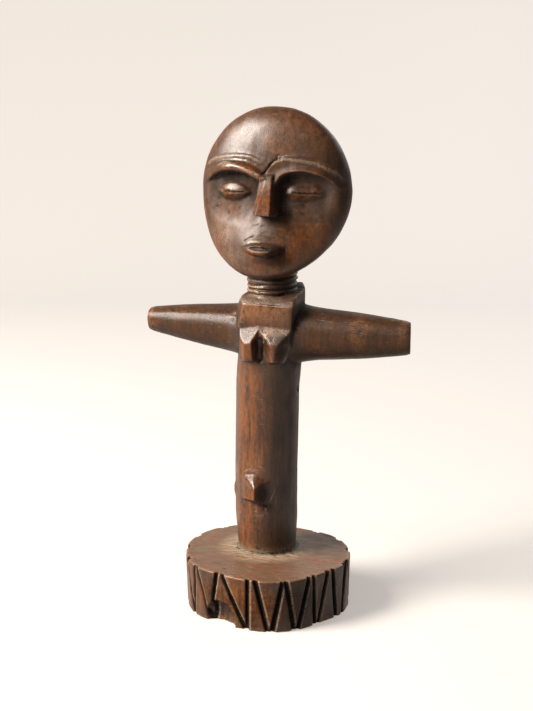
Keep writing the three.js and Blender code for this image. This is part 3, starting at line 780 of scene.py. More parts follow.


# Knife lines, cracks and knocks, cut into the fused block, and pale lines painted on as highlights

# Each is seen from the front as (x, z), round the column or disc as (bearing, z), or on the disc's top as
# (x, y); then its width, its depth and how dark it has become, or with a minus how pale it is painted: the
# pale ones on the neck rings, brows, lips and breasts are painted highlights, those by the navel pale scuffs.
marks = {
    "rightEyeSlit": ("front", ((-22.4, 200.5), (-17, 200.5), (-11.6, 200.6)), 0.9, 0.75, 1.0),
    "leftEyeSlit": ("front", ((11.8, 201.3), (18, 201.0), (25, 200.9)), 1.0, 0.9, 1.0),
    "browCrack": ("front", ((-1.6, 209.6), (0.4, 212.2), (2.2, 214.8), (4.4, 216.3), (7.4, 217.0)), 1.3, 0.9, 1.0),
    "browCrackFork": ("front", ((4.2, 216.2), (5.2, 218.2), (8.6, 218.4)), 0.9, 0.5, 0.9),
    "mouthSlot": ("front", ((-6.0, 176.4), (-1.0, 176.6), (4.8, 176.4)), 1.6, 0.35, 0.75),
    "mouthCornerCut": ("front", ((10.7, 177.6), (10.3, 174.8)), 0.5, 0.2, 0.4),
    "noseRootLine": ("front", ((-2.6, 208.4), (-4.4, 203), (-5.2, 196)), 0.8, 0.3, 0.6),
    "chestCrack": ("front", ((-17.2, 139.2), (-16.8, 143.4)), 0.8, 0.8, 1.0),
    "checkLong": ("around", ((-13, 92), (-14.5, 86), (-15, 79)), 0.5, 0.4, 1.0),
    "checkShort": ("around", ((-27, 97), (-29, 90)), 0.5, 0.3, 0.8),
    "checkLow": ("around", ((-24, 84), (-25, 75)), 0.4, 0.3, 0.8),
    "checkFoot": ("around", ((-38, 46), (-36, 36)), 0.4, 0.3, 0.7),
    "rimGouge": ("around", ((88, 107), (104, 104.5)), 1.6, 1.0, 0.9),
    "rimGougeLow": ("around", ((92, 101), (108, 102)), 0.9, 0.7, 0.8),
    "rimCrack": ("around", ((104, 86), (106, 80), (105, 76)), 0.9, 0.9, 1.0),
    "rimNick": ("around", ((96, 121), (102, 123.4)), 1.2, 1.0, 0.9),
    "footLine": ("around", ((12, 26.4), (40, 26.2), (75, 26.3), (120, 26.6)), 0.9, 0.5, 1.0),
    "topPit": ("top", ((-13.4, -26.3), (-12.8, -26.6)), 1.5, 0.9, 1.0),
    "topScratch": ("top", ((-24, -18), (-15, -24), (-9, -33)), 0.5, 0.2, 0.5),
    "navelSide": ("front", ((5.3, 64.4), (4.4, 58.9), (2.2, 52.4)), 0.6, 0.1, -0.9),
    "navelScuff": ("front", ((1.0, 51.0), (4.4, 51.6), (7.2, 53.4)), 0.5, 0.1, -0.6),
    "navelScuffLow": ("front", ((-9.0, 49.2), (-4.0, 48.0), (1.2, 49.4)), 0.6, 0.1, -0.5),
    "navelScuffHigh": ("front", ((-11.8, 66.4), (-7.6, 67.6), (-3.0, 67.0)), 0.6, 0.1, -0.6),
    "lipAbove": ("front", ((-7.4, 185.0), (-3.7, 186.3), (1.6, 185.6)), 0.7, 0.2, 0.6),
    # painted highlights: pale lines along the lit edges of the breasts' facets
    "breastLine": ("front", ((-0.6, 137.2), (1.6, 133.6), (3.8, 130.9)), 0.6, 0.1, -1.0),
    "breastLineTwo": ("front", ((1.9, 136.5), (0.2, 133.0), (-0.8, 130.4)), 0.6, 0.1, -0.9),
    "breastEdge": ("front", ((3.0, 137.7), (7.4, 137.4), (11.6, 135.6)), 0.6, 0.1, -0.6),
    # painted highlight on the lower lip's lit crest, partly wear
    "slotEdge": ("front", ((-6.2, 175.9), (-2.0, 174.9), (4.4, 175.2)), 0.6, 0.1, -0.5),
    "lipArc": ("front", ((-9.6, 178.6), (-7.6, 180.2), (-4.6, 181.2)), 0.7, 0.3, 0.7),
    "lipArcMiddle": ("front", ((-3.6, 180.9), (-0.6, 181.6), (3.4, 180.6), (6.4, 181.2)), 0.6, 0.12, 0.35),
    "lipArcHigh": ("front", ((-1.4, 182.6), (2.2, 183.4), (6.8, 182.2), (10.2, 180.6)), 0.6, 0.12, 0.3),
    "lipRidge": ("front", ((-8.6, 179.9), (-5.4, 182.0), (-0.6, 182.7)), 0.6, -0.12, -0.35),
    # painted highlight: the upper lip's lit top edge
    "lipTop": ("front", ((-8.0, 177.9), (-5.0, 178.8), (-1.0, 178.9)), 1.0, -0.15, -0.7),
    # painted highlights: pale lines along the brows' lit edges and crest
    "browLineRight": ("front", ((-2.4, 214.4), (-7.8, 216.7), (-13.5, 217.3), (-20.6, 216.9), (-27.5, 215.3), (-33, 212)),
                      2.0, -0.25, -0.35),
    "browLineLeft": ("front", ((2.4, 213.6), (5.0, 216.2), (9.3, 216.6), (14.4, 216.1), (23.3, 214.6), (31, 210.6), (34.6, 206.4)),
                     1.7, -0.25, -0.4),
    "browCrest": ("front", ((-25.5, 212.6), (-21.4, 213.9), (-17.7, 213.7), (-12.8, 212.5), (-7.3, 210.7), (-2.4, 209.3)),
                  1.5, -0.12, -0.6),
    # painted highlights: pale bands on the lit front-left of the neck rings
    "ringHigh": ("around", ((-62, 154.5), (-34, 154.3), (-6, 154.5)), 1.3, -0.25, -0.6),
    "ringMiddle": ("around", ((-58, 156.6), (-20, 156.4), (10, 156.9)), 0.7, -0.12, -0.6),
    "ringTop": ("around", ((-50, 159.2), (-10, 159.4), (30, 159.0)), 0.7, -0.12, -0.5),
    "backCheck": ("around", ((176, 112), (179, 96), (177, 82), (180, 70)), 0.6, 0.5, 0.9),
}


def carveMarks(points, normals):
    # moves the skin inwards along every mark, and returns how dark each place has become and how pale it is painted,
    # mostly as highlights
    angle = np.degrees(np.arctan2(points[:, 0] - column["x"], column["y"] - points[:, 1]))
    reach = np.hypot(points[:, 0] - column["x"], points[:, 1] - column["y"])
    dark = np.zeros(len(points))
    pale = np.zeros(len(points))
    moved = points.copy()
    for view, line, width, depth, tone in marks.values():
        line = smoothLine(line, 24)
        if view == "around":
            flat = np.stack([np.radians((angle - line[0, 0] + 180) % 360 - 180) * column["radius"], points[:, 2]], -1)
            line = np.stack([np.radians(line[:, 0] - line[0, 0]) * column["radius"], line[:, 1]], -1)
            seen = reach < 17
        elif view == "top":
            flat, seen = points[:, :2], (points[:, 2] < disc["height"] + 2) & (normals[:, 2] > 0.6)
        else:
            flat, seen = points[:, [0, 2]], (normals[:, 1] < 0.2) & (points[:, 1] < 8)
        low, high = line.min(0) - width, line.max(0) + width
        near = np.flatnonzero(seen & np.all((flat > low) & (flat < high), axis=1))
        if not len(near):
            continue
        ragged = 1 + 0.35 * softNoise(points[near], 1.1, 51)
        share = np.clip(1 - fromLine(line, flat[near])[0] / (width / 2 * ragged), 0, 1)
        ends = fromLine(line, flat[near])[1]
        share = share * ease(ends, -0.02, 0.12) * (1 - ease(ends, 0.88, 1.02)) if view != "top" else share
        moved[near] -= normals[near] * (depth * np.sqrt(share))[:, None]
        dark[near] = np.maximum(dark[near], tone * np.clip(share * 2.5, 0, 1))
        pale[near] = np.maximum(pale[near], -tone * np.clip(share * 2.5, 0, 1))
    return moved, dark, pale


handwork = {
    "long": (11, 0.16),           # size and height in mm of the knife's slow unevenness
    "facets": (5.5, 0.16),        # of the shallow facets that meet in soft crests
    "short": (1.6, 0.035),
    "chiselled": ((2.4, 2.4, 1.2), 0.2),
}


# Places where the knife's short cuts were never rubbed away, as centre, reach and strength.
chiselled = (
    ((-17, -3, 203), (15, 9, 8), 1.0), ((17, -3, 202), (15, 9, 8), 0.9), ((-21, -2, 194.5), (16, 18, 8), 0.75), ((-8, -11, 57), (6, 7, 5), 1.0), ((-6, -38, 12), (30, 12, 14), 0.8),
    ((1.0, -11, 197), (4.5, 9, 9), 1.0), ((0, -14, 181), (13, 8, 5), 1.0), ((9, -12, 173), (8, 8, 8), 0.8), ((-4, -15, 173.4), (7, 8, 2.4), 0.9), ((15, -6, 189), (14, 16, 10), 0.8), ((3, -6, 213), (9, 8, 6), 0.8),
    ((0, -1, 152), (17, 14, 4), 0.9), ((0, -8, 138), (14, 6, 2), 0.6), ((0, -10, 121), (13, 6, 2), 0.6),
    ((2, -8, 50), (10, 6, 3), 0.7),
)


def unevenness(points):
    # how far the hand-cut surface stands out from the drawn form
    size, height = handwork["long"]
    rise = height * softNoise(points, size, 61)
    size, height = handwork["facets"]
    rise += height * (0.35 - np.abs(softNoise(points, (size, size, size * 1.5), 62)))
    size, height = handwork["chiselled"]
    rise += height * softNoise(points, size, 64) * blotches(points, chiselled)
    size, height = handwork["short"]
    return rise + height * softNoise(points, (size, size, size * 2.2), 63)


# What the surface has been through, and where shade and highlights are painted on, as values from 0 to 1 on every point

occlusionShade = {"rays": 14, "reach": 13, "lift": 0.25}     # how far a place looks for cover; the covered share is painted on as shade


def covered(points, normals, faces):
    # share of the directions out from each point that meet the block within reach: crevices are near 1
    tree = BVHTree.FromPolygons(points.tolist(), faces.tolist())
    spin = np.random.default_rng(5).normal(size=(occlusionShade["rays"], 3))
    spin = spin / np.linalg.norm(spin, axis=1)[:, None]
    share = np.zeros(len(points))
    starts = (points + normals * occlusionShade["lift"]).tolist()
    for direction in spin:
        aims = normals * 1.05 + direction
        aims = (aims / np.linalg.norm(aims, axis=1)[:, None]).tolist()
        met = [tree.ray_cast(Vector(start), Vector(aim), occlusionShade["reach"])[3] for start, aim in zip(starts, aims)]
        share += [0 if gap is None else 1 - gap / occlusionShade["reach"] for gap in met]
    return share / occlusionShade["rays"]


def standsOut(points, normals, edges, rounds):
    # how far each point stands out from its smoothed surroundings, in millimetres
    return ((points - smoothed(points, edges, rounds, 0.6)) * normals).sum(1)


# Places rubbed down to warm brown, as centre, reach and strength, and places painted nearly black as shade:
# mostly the sides, backs and undersides turned away from the window, the nose's shaded flank, the shadow
# under the lips and the eye sockets.
rubbed = (
    ((-9, -4, 90), (10, 9, 42), 1.0), ((-10, -5, 45), (10, 9, 22), 0.9), ((-8, -12, 58), (8, 5, 6), 1.0),
    ((0, -8, 143), (13, 6, 9), 0.6), ((-9, -11, 127), (5, 5, 6), 1.0), ((5, -10, 127), (3, 4, 5), 0.9),
    ((-18, -8, 211), (16, 9, 4), 0.9), ((18, -8, 211), (17, 9, 2.2), 0.8), ((2, -12, 200), (6, 9, 11), 0.9),
    ((22, -2, 177), (14, 12, 12), 0.8), ((16, 0, 226), (20, 14, 12), 0.3), ((0, -14, 168), (18, 9, 7), 0.9),
    ((-5, -14, 173), (7, 9, 3), 1.0), ((-34, 0, 131), (22, 12, 5), 0.2), ((40, 0, 131), (26, 12, 5), 0.3),
    ((-20, -3, 187), (15, 18, 12), 0.5), ((14, -6, 199), (10, 9, 1.6), 0.5), ((-22, 6, 176), (12, 12, 14), 0.7),
    ((8, -40, 12), (26, 12, 12), 0.8), ((-30, -25, 12), (14, 14, 12), 0.8), ((0, 42, 12), (26, 12, 12), 0.4),
    ((0, 25, 90), (12, 9, 40), 0.6), ((0, 24, 205), (22, 12, 24), 0.5), ((0, 24, 140), (12, 8, 14), 0.5),
)
shadeBlots = (
    ((-18, -2, 207), (11, 9, 4), 1.0), ((-16, 0, 195.5), (10, 9, 2.5), 0.35), ((16, -2, 207), (14, 9, 3.5), 0.7),
    ((20, 0, 196), (12, 9, 3), 0.6), ((26, -4, 191), (12, 10, 7), 0.45), ((24, -4, 222), (14, 10, 12), 0.3), ((-8, -3, 199), (2.8, 9, 9), 0.9), ((7, -3, 199), (4, 9, 10), 1.0),
    ((6.6, -12, 175), (5, 9, 3.8), 1.0), ((3, -10, 170.2), (10, 9, 2.8), 0.9), ((14, -4, 143), (3.5, 5, 10), 1.0),
    ((0.5, -9, 57.5), (3.5, 5, 6), 1.0), ((10.5, -10, 134.5), (4, 5, 5), 0.9), ((10, -10, 126.5), (4, 6, 7), 1.0), ((-2.3, -8, 122), (2, 4, 2), 1.0),
    ((67, 9, 136), (4, 12, 12), 0.8), ((8, 0, 157), (9, 16, 6), 0.8), ((-40, 8, 127), (30, 12, 5), 0.6),
    ((45, 8, 128), (34, 12, 4), 0.5), ((30, -30, 12), (16, 14, 14), 0.7), ((16, 4, 100), (6, 12, 30), 0.6),
    ((0, 2, 160.5), (18, 16, 2.5), 0.4), ((14, 8, 143), (7, 14, 14), 0.8), ((16, 4, 125), (8, 14, 12), 0.6),
    ((18, -2, 203.6), (9, 9, 2.4), 0.7), ((-17, -3, 205.4), (8, 9, 1.2), 0.5), ((42, 4, 133), (30, 14, 7), 0.5),
    ((-42, 2, 132), (28, 12, 6), 0.45), ((11, 12, 80), (6, 14, 60), 0.6), ((37, 12, 200), (8, 16, 34), 0.5), ((0, 10, 240), (30, 16, 6), 0.35),
    ((-36, 12, 210), (6, 14, 24), 0.3), ((40, 10, 144), (30, 14, 5), 0.5), ((-40, 10, 146), (30, 14, 5), 0.4),
)


# Places where the finish has gone pale and specked.
faded = (
    ((-24, -8, 183), (10, 10, 9), 0.35), ((-7, -14, 183), (9, 9, 5), 0.35), ((-16, -10, 172), (9, 9, 5), 0.2),
    ((-6, -4, 151), (14, 9, 3), 0.3), ((4, -9, 137), (12, 8, 2), 0.25),
)


# Places polished by hands. Elsewhere the wood is duller.
polished = (
    ((-10, -2, 229), (28, 14, 20), 0.5), ((-16, -6, 213), (18, 9, 5), 0.9), ((-40, 2, 140), (34, 12, 9), 0.5),
    ((40, 2, 138), (34, 12, 12), 0.3), ((-6, -9, 63), (5.5, 6, 3.2), 1.0), ((0, -10, 134.5), (15, 9, 7), 0.6),
    ((-6, -5, 90), (13, 9, 52), 0.5), ((-18, -3, 203), (9, 7, 3), 1.0), ((9.5, -3, 202.6), (5, 7, 2.5), 1.0), ((-14, -6, 211.5), (15, 9, 4.5), 1.0),
    ((-5, -14, 178.6), (6, 7, 1.2), 1.0), ((0, -6, 148.6), (14, 3, 1.6), 1.0),
    ((-5, -4, 155), (9, 8, 4), 1.0), ((0, 24, 200), (26, 12, 30), 0.6), ((0, -36, 22), (30, 10, 6), 0.5),
)


def blotches(points, places):
    # soft blots with ragged borders, the strongest one at each point
    total = np.zeros(len(points))
    ragged = 0.28 * softNoise(points, (4, 4, 9), 71) + 0.15 * softNoise(points, (1.6, 1.6, 4), 72)
    for centre, reach, strength in places:
        off = np.linalg.norm((points - centre) / reach, axis=1) + ragged
        total = np.maximum(total, strength * (1 - ease(off, 0.45, 1.25)))
    return total


def readSurface(points, normals, edges, faces, dark, pale):
    bearing = np.degrees(np.arctan2(points[:, 0], -points[:, 1]))
    z = points[:, 2]
    toColumn = np.hypot(points[:, 0] - column["x"], points[:, 1] - column["y"])
    onDisc = (z < disc["height"] + 1.5) & ((toColumn > column["footRadius"] + 1) | (z < disc["height"] - 2))
    wall = onDisc & (np.abs(normals[:, 2]) < 0.75) & (z < disc["height"] - 0.2)
    sharp = standsOut(points, normals, edges, 4)
    broad = standsOut(points, normals, edges, 40)
    # painted shade: how closed in each place is, which darkens it under the chin and brows, between the breasts and
    # round the arms
    sheltered = covered(points, normals, faces)
    strokes, lips = strokeShare(bearing, np.clip(z, 0, disc["height"])) * wall
    dust = (1 - ease(toColumn, column["footRadius"] + 2, column["footRadius"] + 13)) * (z < disc["height"] + 3) * onDisc
    foot = (1 - ease(z, disc["height"], disc["height"] + 5)) * (toColumn < column["radius"] + 2) * ~onDisc
    rubbing = blotches(points, polished)
    flat = onDisc * ease(normals[:, 2], 0.5, 0.85)
    # dirt and painted shade in the hollows, small and broad, with the knife lines' dark
    hollow = ease(-sharp, 0.015, 0.11) * 0.8 + ease(-broad, 0.12, 0.7) * 0.6
    return {
        "wear": np.clip(ease(sharp, 0.03, 0.14) + 0.6 * ease(broad, 0.2, 0.8), 0, 1),
        "grimeAndShade": np.clip(hollow * (1 - 0.9 * flat) + dark, 0, 1),
        "occlusionShade": sheltered * (1 - 0.6 * flat),
        "warm": blotches(points, rubbed),
        # painted shade from the shade blots
        "paintedShade": blotches(points, shadeBlots),
        "polish": rubbing,
        "matt": blotches(points, chiselled) * (1 - rubbing),
        "arms": ease(np.abs(points[:, 0]), 15, 22) * (z > 115) * (z < 152),
        "grain": 1 - 0.65 * ease(z, 158, 172),
        "strokes": ease(strokes, 0.06, 0.32),
        # pale: painted highlights on the strokes' right lips and the pale mark lines, and places faded pale
        "lips": np.maximum.reduce([lips * (1 - ease(strokes, 0.1, 0.3)), pale, blotches(points, faded)]),
        "discTop": flat * (z > disc["height"] - 2),
        "dust": np.clip(dust + 0.7 * foot, 0, 1),
    }


# Plain helpers for materials

def linear(hexColour):
    # an sRGB hex colour as the linear values that the shader wants
    values = np.array([int(hexColour[k:k + 2], 16) for k in (0, 2, 4)]) / 255
    values = np.where(values <= 0.04045, values / 12.92, ((values + 0.055) / 1.055) ** 2.4)
    return (*values, 1.0)


def addNode(tree, kind, inputs=None, **settings):
    # adds a node, applies its settings, and fills or links its inputs
    node = tree.nodes.new(kind)
    for name, value in settings.items():
        setattr(node, name, value)
    for name, value in (inputs or {}).items():
        if isinstance(value, bpy.types.NodeSocket):
            tree.links.new(value, node.inputs[name])
        else:
            node.inputs[name].default_value = value
    return node


def addNoise(tree, place, size, stretch=1, detail=2, roughness=0.5):
    # a cloudy pattern from 0 to 1 with blobs of the given size in millimetres, drawn out along the grain
    scaled = addNode(tree, "ShaderNodeVectorMath", {0: place, 1: (1 / size, 1 / size, 1 / (size * stretch))},
                     operation="MULTIPLY")
    return addNode(tree, "ShaderNodeTexNoise", {
        "Vector": scaled.outputs[0], "Scale": 1.0, "Detail": detail, "Roughness": roughness}).outputs["Fac"]


def addBand(tree, value, low, high, most=1.0):
    # 0 below low, rising to most above high
    return addNode(tree, "ShaderNodeMapRange", {
        "Value": value, "From Min": low, "From Max": high, "To Max": most}, interpolation_type="SMOOTHSTEP").outputs[0]


def addMath(tree, operation, a, b=0.5):
    return addNode(tree, "ShaderNodeMath", {0: a, 1: b}, operation=operation).outputs[0]


def addMix(tree, share, a, b, blend="MIX"):
    # colours as hex text or as links; share 0 gives a, 1 gives b
    a, b = (linear(colour) if isinstance(colour, str) else colour for colour in (a, b))
    return addNode(tree, "ShaderNodeMix", {0: share, 6: a, 7: b}, data_type="RGBA", blend_type=blend).outputs[2]


def addScratches(tree, place, turn, rarity):
    # thin broken lines 8 mm long in one direction; the higher the rarity, the fewer
    turned = addNode(tree, "ShaderNodeMapping", {"Vector": place, "Rotation": turn, "Scale": (0.12, 2.2, 2.2)})
    lines = addNode(tree, "ShaderNodeTexNoise", {"Vector": turned.outputs[0], "Scale": 1.0, "Detail": 1.0})
    return addBand(tree, lines.outputs["Fac"], rarity, rarity + 0.08)


def readValue(tree, name):
    return addNode(tree, "ShaderNodeAttribute", attribute_name=name).outputs["Fac"]


# Dense hardwood under an old dark stain, polished by hands: the grain runs up through every part of the
# block, rubbed places show warm brown, crevices hold dark dirt with painted shade, the sides away from the
# light are painted nearly black as shade, pale lines along lit edges are painted highlights, and the cut
# end grain of the disc's top is greyer. Sizes in millimetres.
wood = {
    "stain": "2b1a0e", "body": "492d17", "warm": "733f15", "edge": "7a5030", "grimeAndShade": "120e0b",
    "paintedShade": "281a10", "top": "5f4a38", "topRed": "703f24", "dust": "a8967c", "pore": "190f09", "lip": "a4907a",
    "roughness": (0.24, 0.44),
}


def stainedHardwood():
    material = bpy.data.materials.new("stained_hardwood")
    material.use_nodes = True
    tree = material.node_tree
    shader = tree.nodes["Principled BSDF"]
    metres = addNode(tree, "ShaderNodeTexCoord").outputs["Object"]
    place = addNode(tree, "ShaderNodeVectorMath", {0: metres, "Scale": 1000.0}, operation="SCALE").outputs[0]

    # the grain wanders a few millimetres from straight
    sway = addNode(tree, "ShaderNodeVectorMath", {0: place, 1: (0.03, 0.03, 0.016)}, operation="MULTIPLY").outputs[0]
    sway = addNode(tree, "ShaderNodeTexNoise", {"Vector": sway, "Scale": 1.0, "Detail": 1.0}).outputs["Color"]
    sway = addNode(tree, "ShaderNodeVectorMath", {0: sway, "Scale": 7.0}, operation="SCALE").outputs[0]
    grain = addNode(tree, "ShaderNodeVectorMath", {0: place, 1: sway}, operation="ADD").outputs[0]

    streaks = addNoise(tree, grain, 2.2, 16, 3)
    fine = addNoise(tree, grain, 0.55, 18, 2)
    pores = addNoise(tree, grain, 0.34, 8, 1)
    cloud = addNoise(tree, place, 11, 1.6, 3)
    mottle = addNoise(tree, place, 1.5, 1.5, 3, 0.65)
    speck = addNoise(tree, place, 0.6, 1.3, 2, 0.6)
    wear, grimeAndShade, occlusionShadeShare, warm, paintedShade, polish, matt, arms, grainShare, strokes, lips, top, dust = (
        readValue(tree, name) for name in (
            "wear", "grimeAndShade", "occlusionShade", "warm", "paintedShade", "polish", "matt", "arms", "grain", "strokes", "lips",
            "discTop", "dust"))
    # the grain shows less on the head, which was rubbed smoother
    faint = addMath(tree, "MULTIPLY", grainShare, 0.7)
    faint = addMath(tree, "ADD", faint, 0.3)
    streaks = addMath(tree, "ADD", addMath(tree, "MULTIPLY", addMath(tree, "SUBTRACT", streaks, 0.5), faint), 0.5)

    # bare wood: stain, streaks and rubbed places
    colour = addMix(tree, addBand(tree, streaks, 0.32, 0.68), wood["stain"], wood["body"])
    colour = addMix(tree, addBand(tree, mottle, 0.35, 0.7, 0.65), colour, wood["body"])
    rub = addMath(tree, "MULTIPLY", warm, addBand(tree, addMath(tree, "ADD", streaks, mottle), 0.68, 1.25))
    colour = addMix(tree, rub, colour, wood["warm"])
    colour = addMix(tree, addBand(tree, fine, 0.52, 0.72, 0.55), colour, wood["stain"])
    colour = addMix(tree, addBand(tree, pores, 0.6, 0.74, 0.75), colour, wood["pore"])
    colour = addMix(tree, addBand(tree, speck, 0.58, 0.75, 0.5), colour, wood["stain"])
    colour = addMix(tree, addBand(tree, cloud, 0.5, 0.75, 0.45), colour, wood["stain"])
    # painted shade: the shade blots darken the colour nearly to black
    colour = addMix(tree, addMath(tree, "MULTIPLY", paintedShade, addBand(tree, cloud, 0.05, 0.45, 0.85)), colour, wood["paintedShade"])

    # the knife's fine lines run round the arms
    rounds = addNode(tree, "ShaderNodeVectorMath", {0: place, 1: (1.6, 0.14, 0.14)}, operation="MULTIPLY").outputs[0]
    rounds = addNode(tree, "ShaderNodeTexNoise", {"Vector": rounds, "Scale": 1.0, "Detail": 2.0}).outputs["Fac"]
    rounds = addMath(tree, "MULTIPLY", arms, addBand(tree, rounds, 0.5, 0.72))
    colour = addMix(tree, addMath(tree, "MULTIPLY", rounds, 0.5), colour, wood["stain"])

    # end grain on the disc's top: greyer, with reddish lines from the saw and light dust
    lines = addNode(tree, "ShaderNodeVectorMath", {0: place, 1: (0.09, 0.75, 0.75)}, operation="MULTIPLY").outputs[0]
    lines = addNode(tree, "ShaderNodeTexNoise", {"Vector": lines, "Scale": 1.0, "Detail": 3.0}).outputs["Fac"]
    ends = addMix(tree, addBand(tree, lines, 0.42, 0.66), wood["top"], wood["topRed"])
    ends = addMix(tree, addBand(tree, mottle, 0.5, 0.8, 0.6), ends, wood["stain"])
    colour = addMix(tree, addMath(tree, "MULTIPLY", top, 0.9), colour, ends)

    # worn edges; then painted shade where the block closes round a place; dirt and painted shade in the crevices and
    # the zigzag's knife strokes; then pale lines, painted highlights on the strokes' right lips and along lit edges,
    # with places faded pale
    worn = addMath(tree, "MULTIPLY", wear, addBand(tree, mottle, 0.25, 0.6))
    rough = addMath(tree, "MAXIMUM", addMath(tree, "MULTIPLY", paintedShade, 0.9), addMath(tree, "MULTIPLY", matt, 0.65))
    worn = addMath(tree, "MULTIPLY", worn, addMath(tree, "SUBTRACT", 1.0, rough))
    colour = addMix(tree, addMath(tree, "MULTIPLY", worn, 0.8), colour, wood["edge"])
    # painted shade: places the block closes round are darkened towards the dark colour
    deep = addBand(tree, occlusionShadeShare, 0.18, 0.7, 0.9)
    colour = addMix(tree, deep, colour, wood["grimeAndShade"])
    colour = addMix(tree, addMath(tree, "MULTIPLY", grimeAndShade, addBand(tree, speck, 0.1, 0.5, 0.9)), colour, wood["grimeAndShade"])
    # the zigzag's strokes: dirt and painted shade in the grooves
    colour = addMix(tree, addMath(tree, "MULTIPLY", strokes, 0.93), colour, wood["grimeAndShade"])
    # pale lines: painted highlights on the strokes' lips and lit edges, and faded places
    colour = addMix(tree, addMath(tree, "MULTIPLY", lips, addBand(tree, speck, 0.3, 0.6, 0.8)), colour, wood["lip"])

    # pale knife scratches, close together and dusty round the column's foot, few elsewhere
    across = addScratches(tree, place, (0, 0, radians(24)), 0.62)
    across = addMath(tree, "MAXIMUM", across, addScratches(tree, place, (0, 0, radians(-31)), 0.6))
    close = addMath(tree, "MAXIMUM", addScratches(tree, place, (0, 0, radians(58)), 0.55),
                    addScratches(tree, place, (0, 0, radians(-12)), 0.54))
    close = addMath(tree, "MAXIMUM", addMath(tree, "MAXIMUM", across, close), addBand(tree, mottle, 0.42, 0.68, 0.6))
    powder = addMath(tree, "MULTIPLY", addMath(tree, "MULTIPLY", dust, close), 0.8)
    colour = addMix(tree, powder, colour, wood["dust"])
    nicks = addScratches(tree, place, (0, radians(38), 0), 0.7)
    nicks = addMath(tree, "MAXIMUM", nicks, addScratches(tree, place, (0, radians(-57), 0), 0.71))
    nicks = addMath(tree, "MULTIPLY", nicks, faint)
    nicks = addMath(tree, "MULTIPLY", addMath(tree, "MAXIMUM", nicks, addMath(tree, "MULTIPLY", across, top)), 0.28)
    colour = addMix(tree, nicks, colour, wood["dust"])
    tree.links.new(colour, shader.inputs["Base Color"])

    # satin where hands polished it, dull in the crevices, the end grain and the dust
    low, high = wood["roughness"]
    rough = addMath(tree, "SUBTRACT", high, addMath(tree, "MULTIPLY", polish, high - low))
    rough = addMath(tree, "ADD", rough, addMath(tree, "MULTIPLY", addMath(tree, "SUBTRACT", mottle, 0.5), 0.2))
    rough = addMath(tree, "ADD", rough, addMath(tree, "MULTIPLY", addMath(tree, "ADD", paintedShade, matt), 0.18))
    rough = addMath(tree, "ADD", rough, addMath(tree, "MULTIPLY", addMath(tree, "ADD", grimeAndShade, deep), 0.22))
    rough = addMath(tree, "ADD", rough, addMath(tree, "MULTIPLY", addMath(tree, "ADD", powder, strokes), 0.3))
    tree.links.new(addMath(tree, "MINIMUM", rough, 0.9), shader.inputs["Roughness"])
    dull = addMath(tree, "MAXIMUM", addMath(tree, "MAXIMUM", addMath(tree, "MULTIPLY", paintedShade, 0.75), deep), strokes)
    dull = addMath(tree, "MAXIMUM", dull, matt)
    dull = addMath(tree, "MAXIMUM", dull, addMath(tree, "MULTIPLY", arms, 0.55))
    shine = addMath(tree, "SUBTRACT", 0.42, addMath(tree, "MULTIPLY", dull, 0.32))
    tree.links.new(shine, shader.inputs["Specular IOR Level"])

    # pores and fine grain lines catch the light
    relief = addMath(tree, "ADD", addMath(tree, "MULTIPLY", fine, 0.9), addMath(tree, "MULTIPLY", speck, 0.4))
    relief = addMath(tree, "ADD", relief, addMath(tree, "MULTIPLY", mottle, 0.5))
    relief = addMath(tree, "SUBTRACT", relief, addBand(tree, pores, 0.6, 0.74, 0.6))
    relief = addMath(tree, "SUBTRACT", relief, addMath(tree, "MULTIPLY", rounds, 0.12))
    bump = addNode(tree, "ShaderNodeBump", {
        "Height": relief, "Strength": addMath(tree, "MULTIPLY", faint, 0.8), "Distance": 0.00007})
    tree.links.new(bump.outputs["Normal"], shader.inputs["Normal"])
    return material


# Floor, light and camera

studio = {"floor": "b4b1ae", "glow": "f6ece2", "glowStrength": 0.4, "floorHalf": 3, "bend": 0.5, "wall": 1.8,
          "back": 0.75}


def makeFloor():
    # a plain pale sheet that bends up behind the figure
    run = np.concatenate([np.linspace(-studio["floorHalf"], studio["back"], 8),
                          studio["back"] + studio["bend"] * np.sin(np.linspace(0, np.pi / 2, 24))[1:],
                          np.full(4, studio["back"] + studio["bend"])])
    lift = np.concatenate([np.zeros(8), studio["bend"] * (1 - np.cos(np.linspace(0, np.pi / 2, 24)))[1:],
                           np.linspace(studio["bend"], studio["wall"], 5)[1:]])
    side = np.linspace(-studio["floorHalf"], studio["floorHalf"], 9)
    turn = radians(camera["turn"])
    x = side[None, :] * np.cos(turn) - run[:, None] * np.sin(turn)
    y = side[None, :] * np.sin(turn) + run[:, None] * np.cos(turn)
    points = np.stack([x, y, lift[:, None] + 0 * x], -1).reshape(-1, 3)
    floor = makeObject("floor", points / millimetre, gridFaces(len(run), len(side), False))
    for polygon in floor.data.polygons:
        polygon.use_smooth = True
    paper = bpy.data.materials.new("plain_paper")
    paper.use_nodes = True
    shader = paper.node_tree.nodes["Principled BSDF"]
    shader.inputs["Base Color"].default_value = linear(studio["floor"])
    shader.inputs["Roughness"].default_value = 0.9
    shader.inputs["Specular IOR Level"].default_value = 0.1
    shader.inputs["Emission Color"].default_value = linear(studio["glow"])
    shader.inputs["Emission Strength"].default_value = studio["glowStrength"]
    floor.data.materials.append(paper)
    floor.visible_diffuse = False     # the paper is lit and shadowed, and throws no light back up


camera = {"place": (0.24865, -0.68316, 0.293), "down": 13.11, "turn": 20.0772, "focal": 1581, "frameHeight": 711, "film": 36}


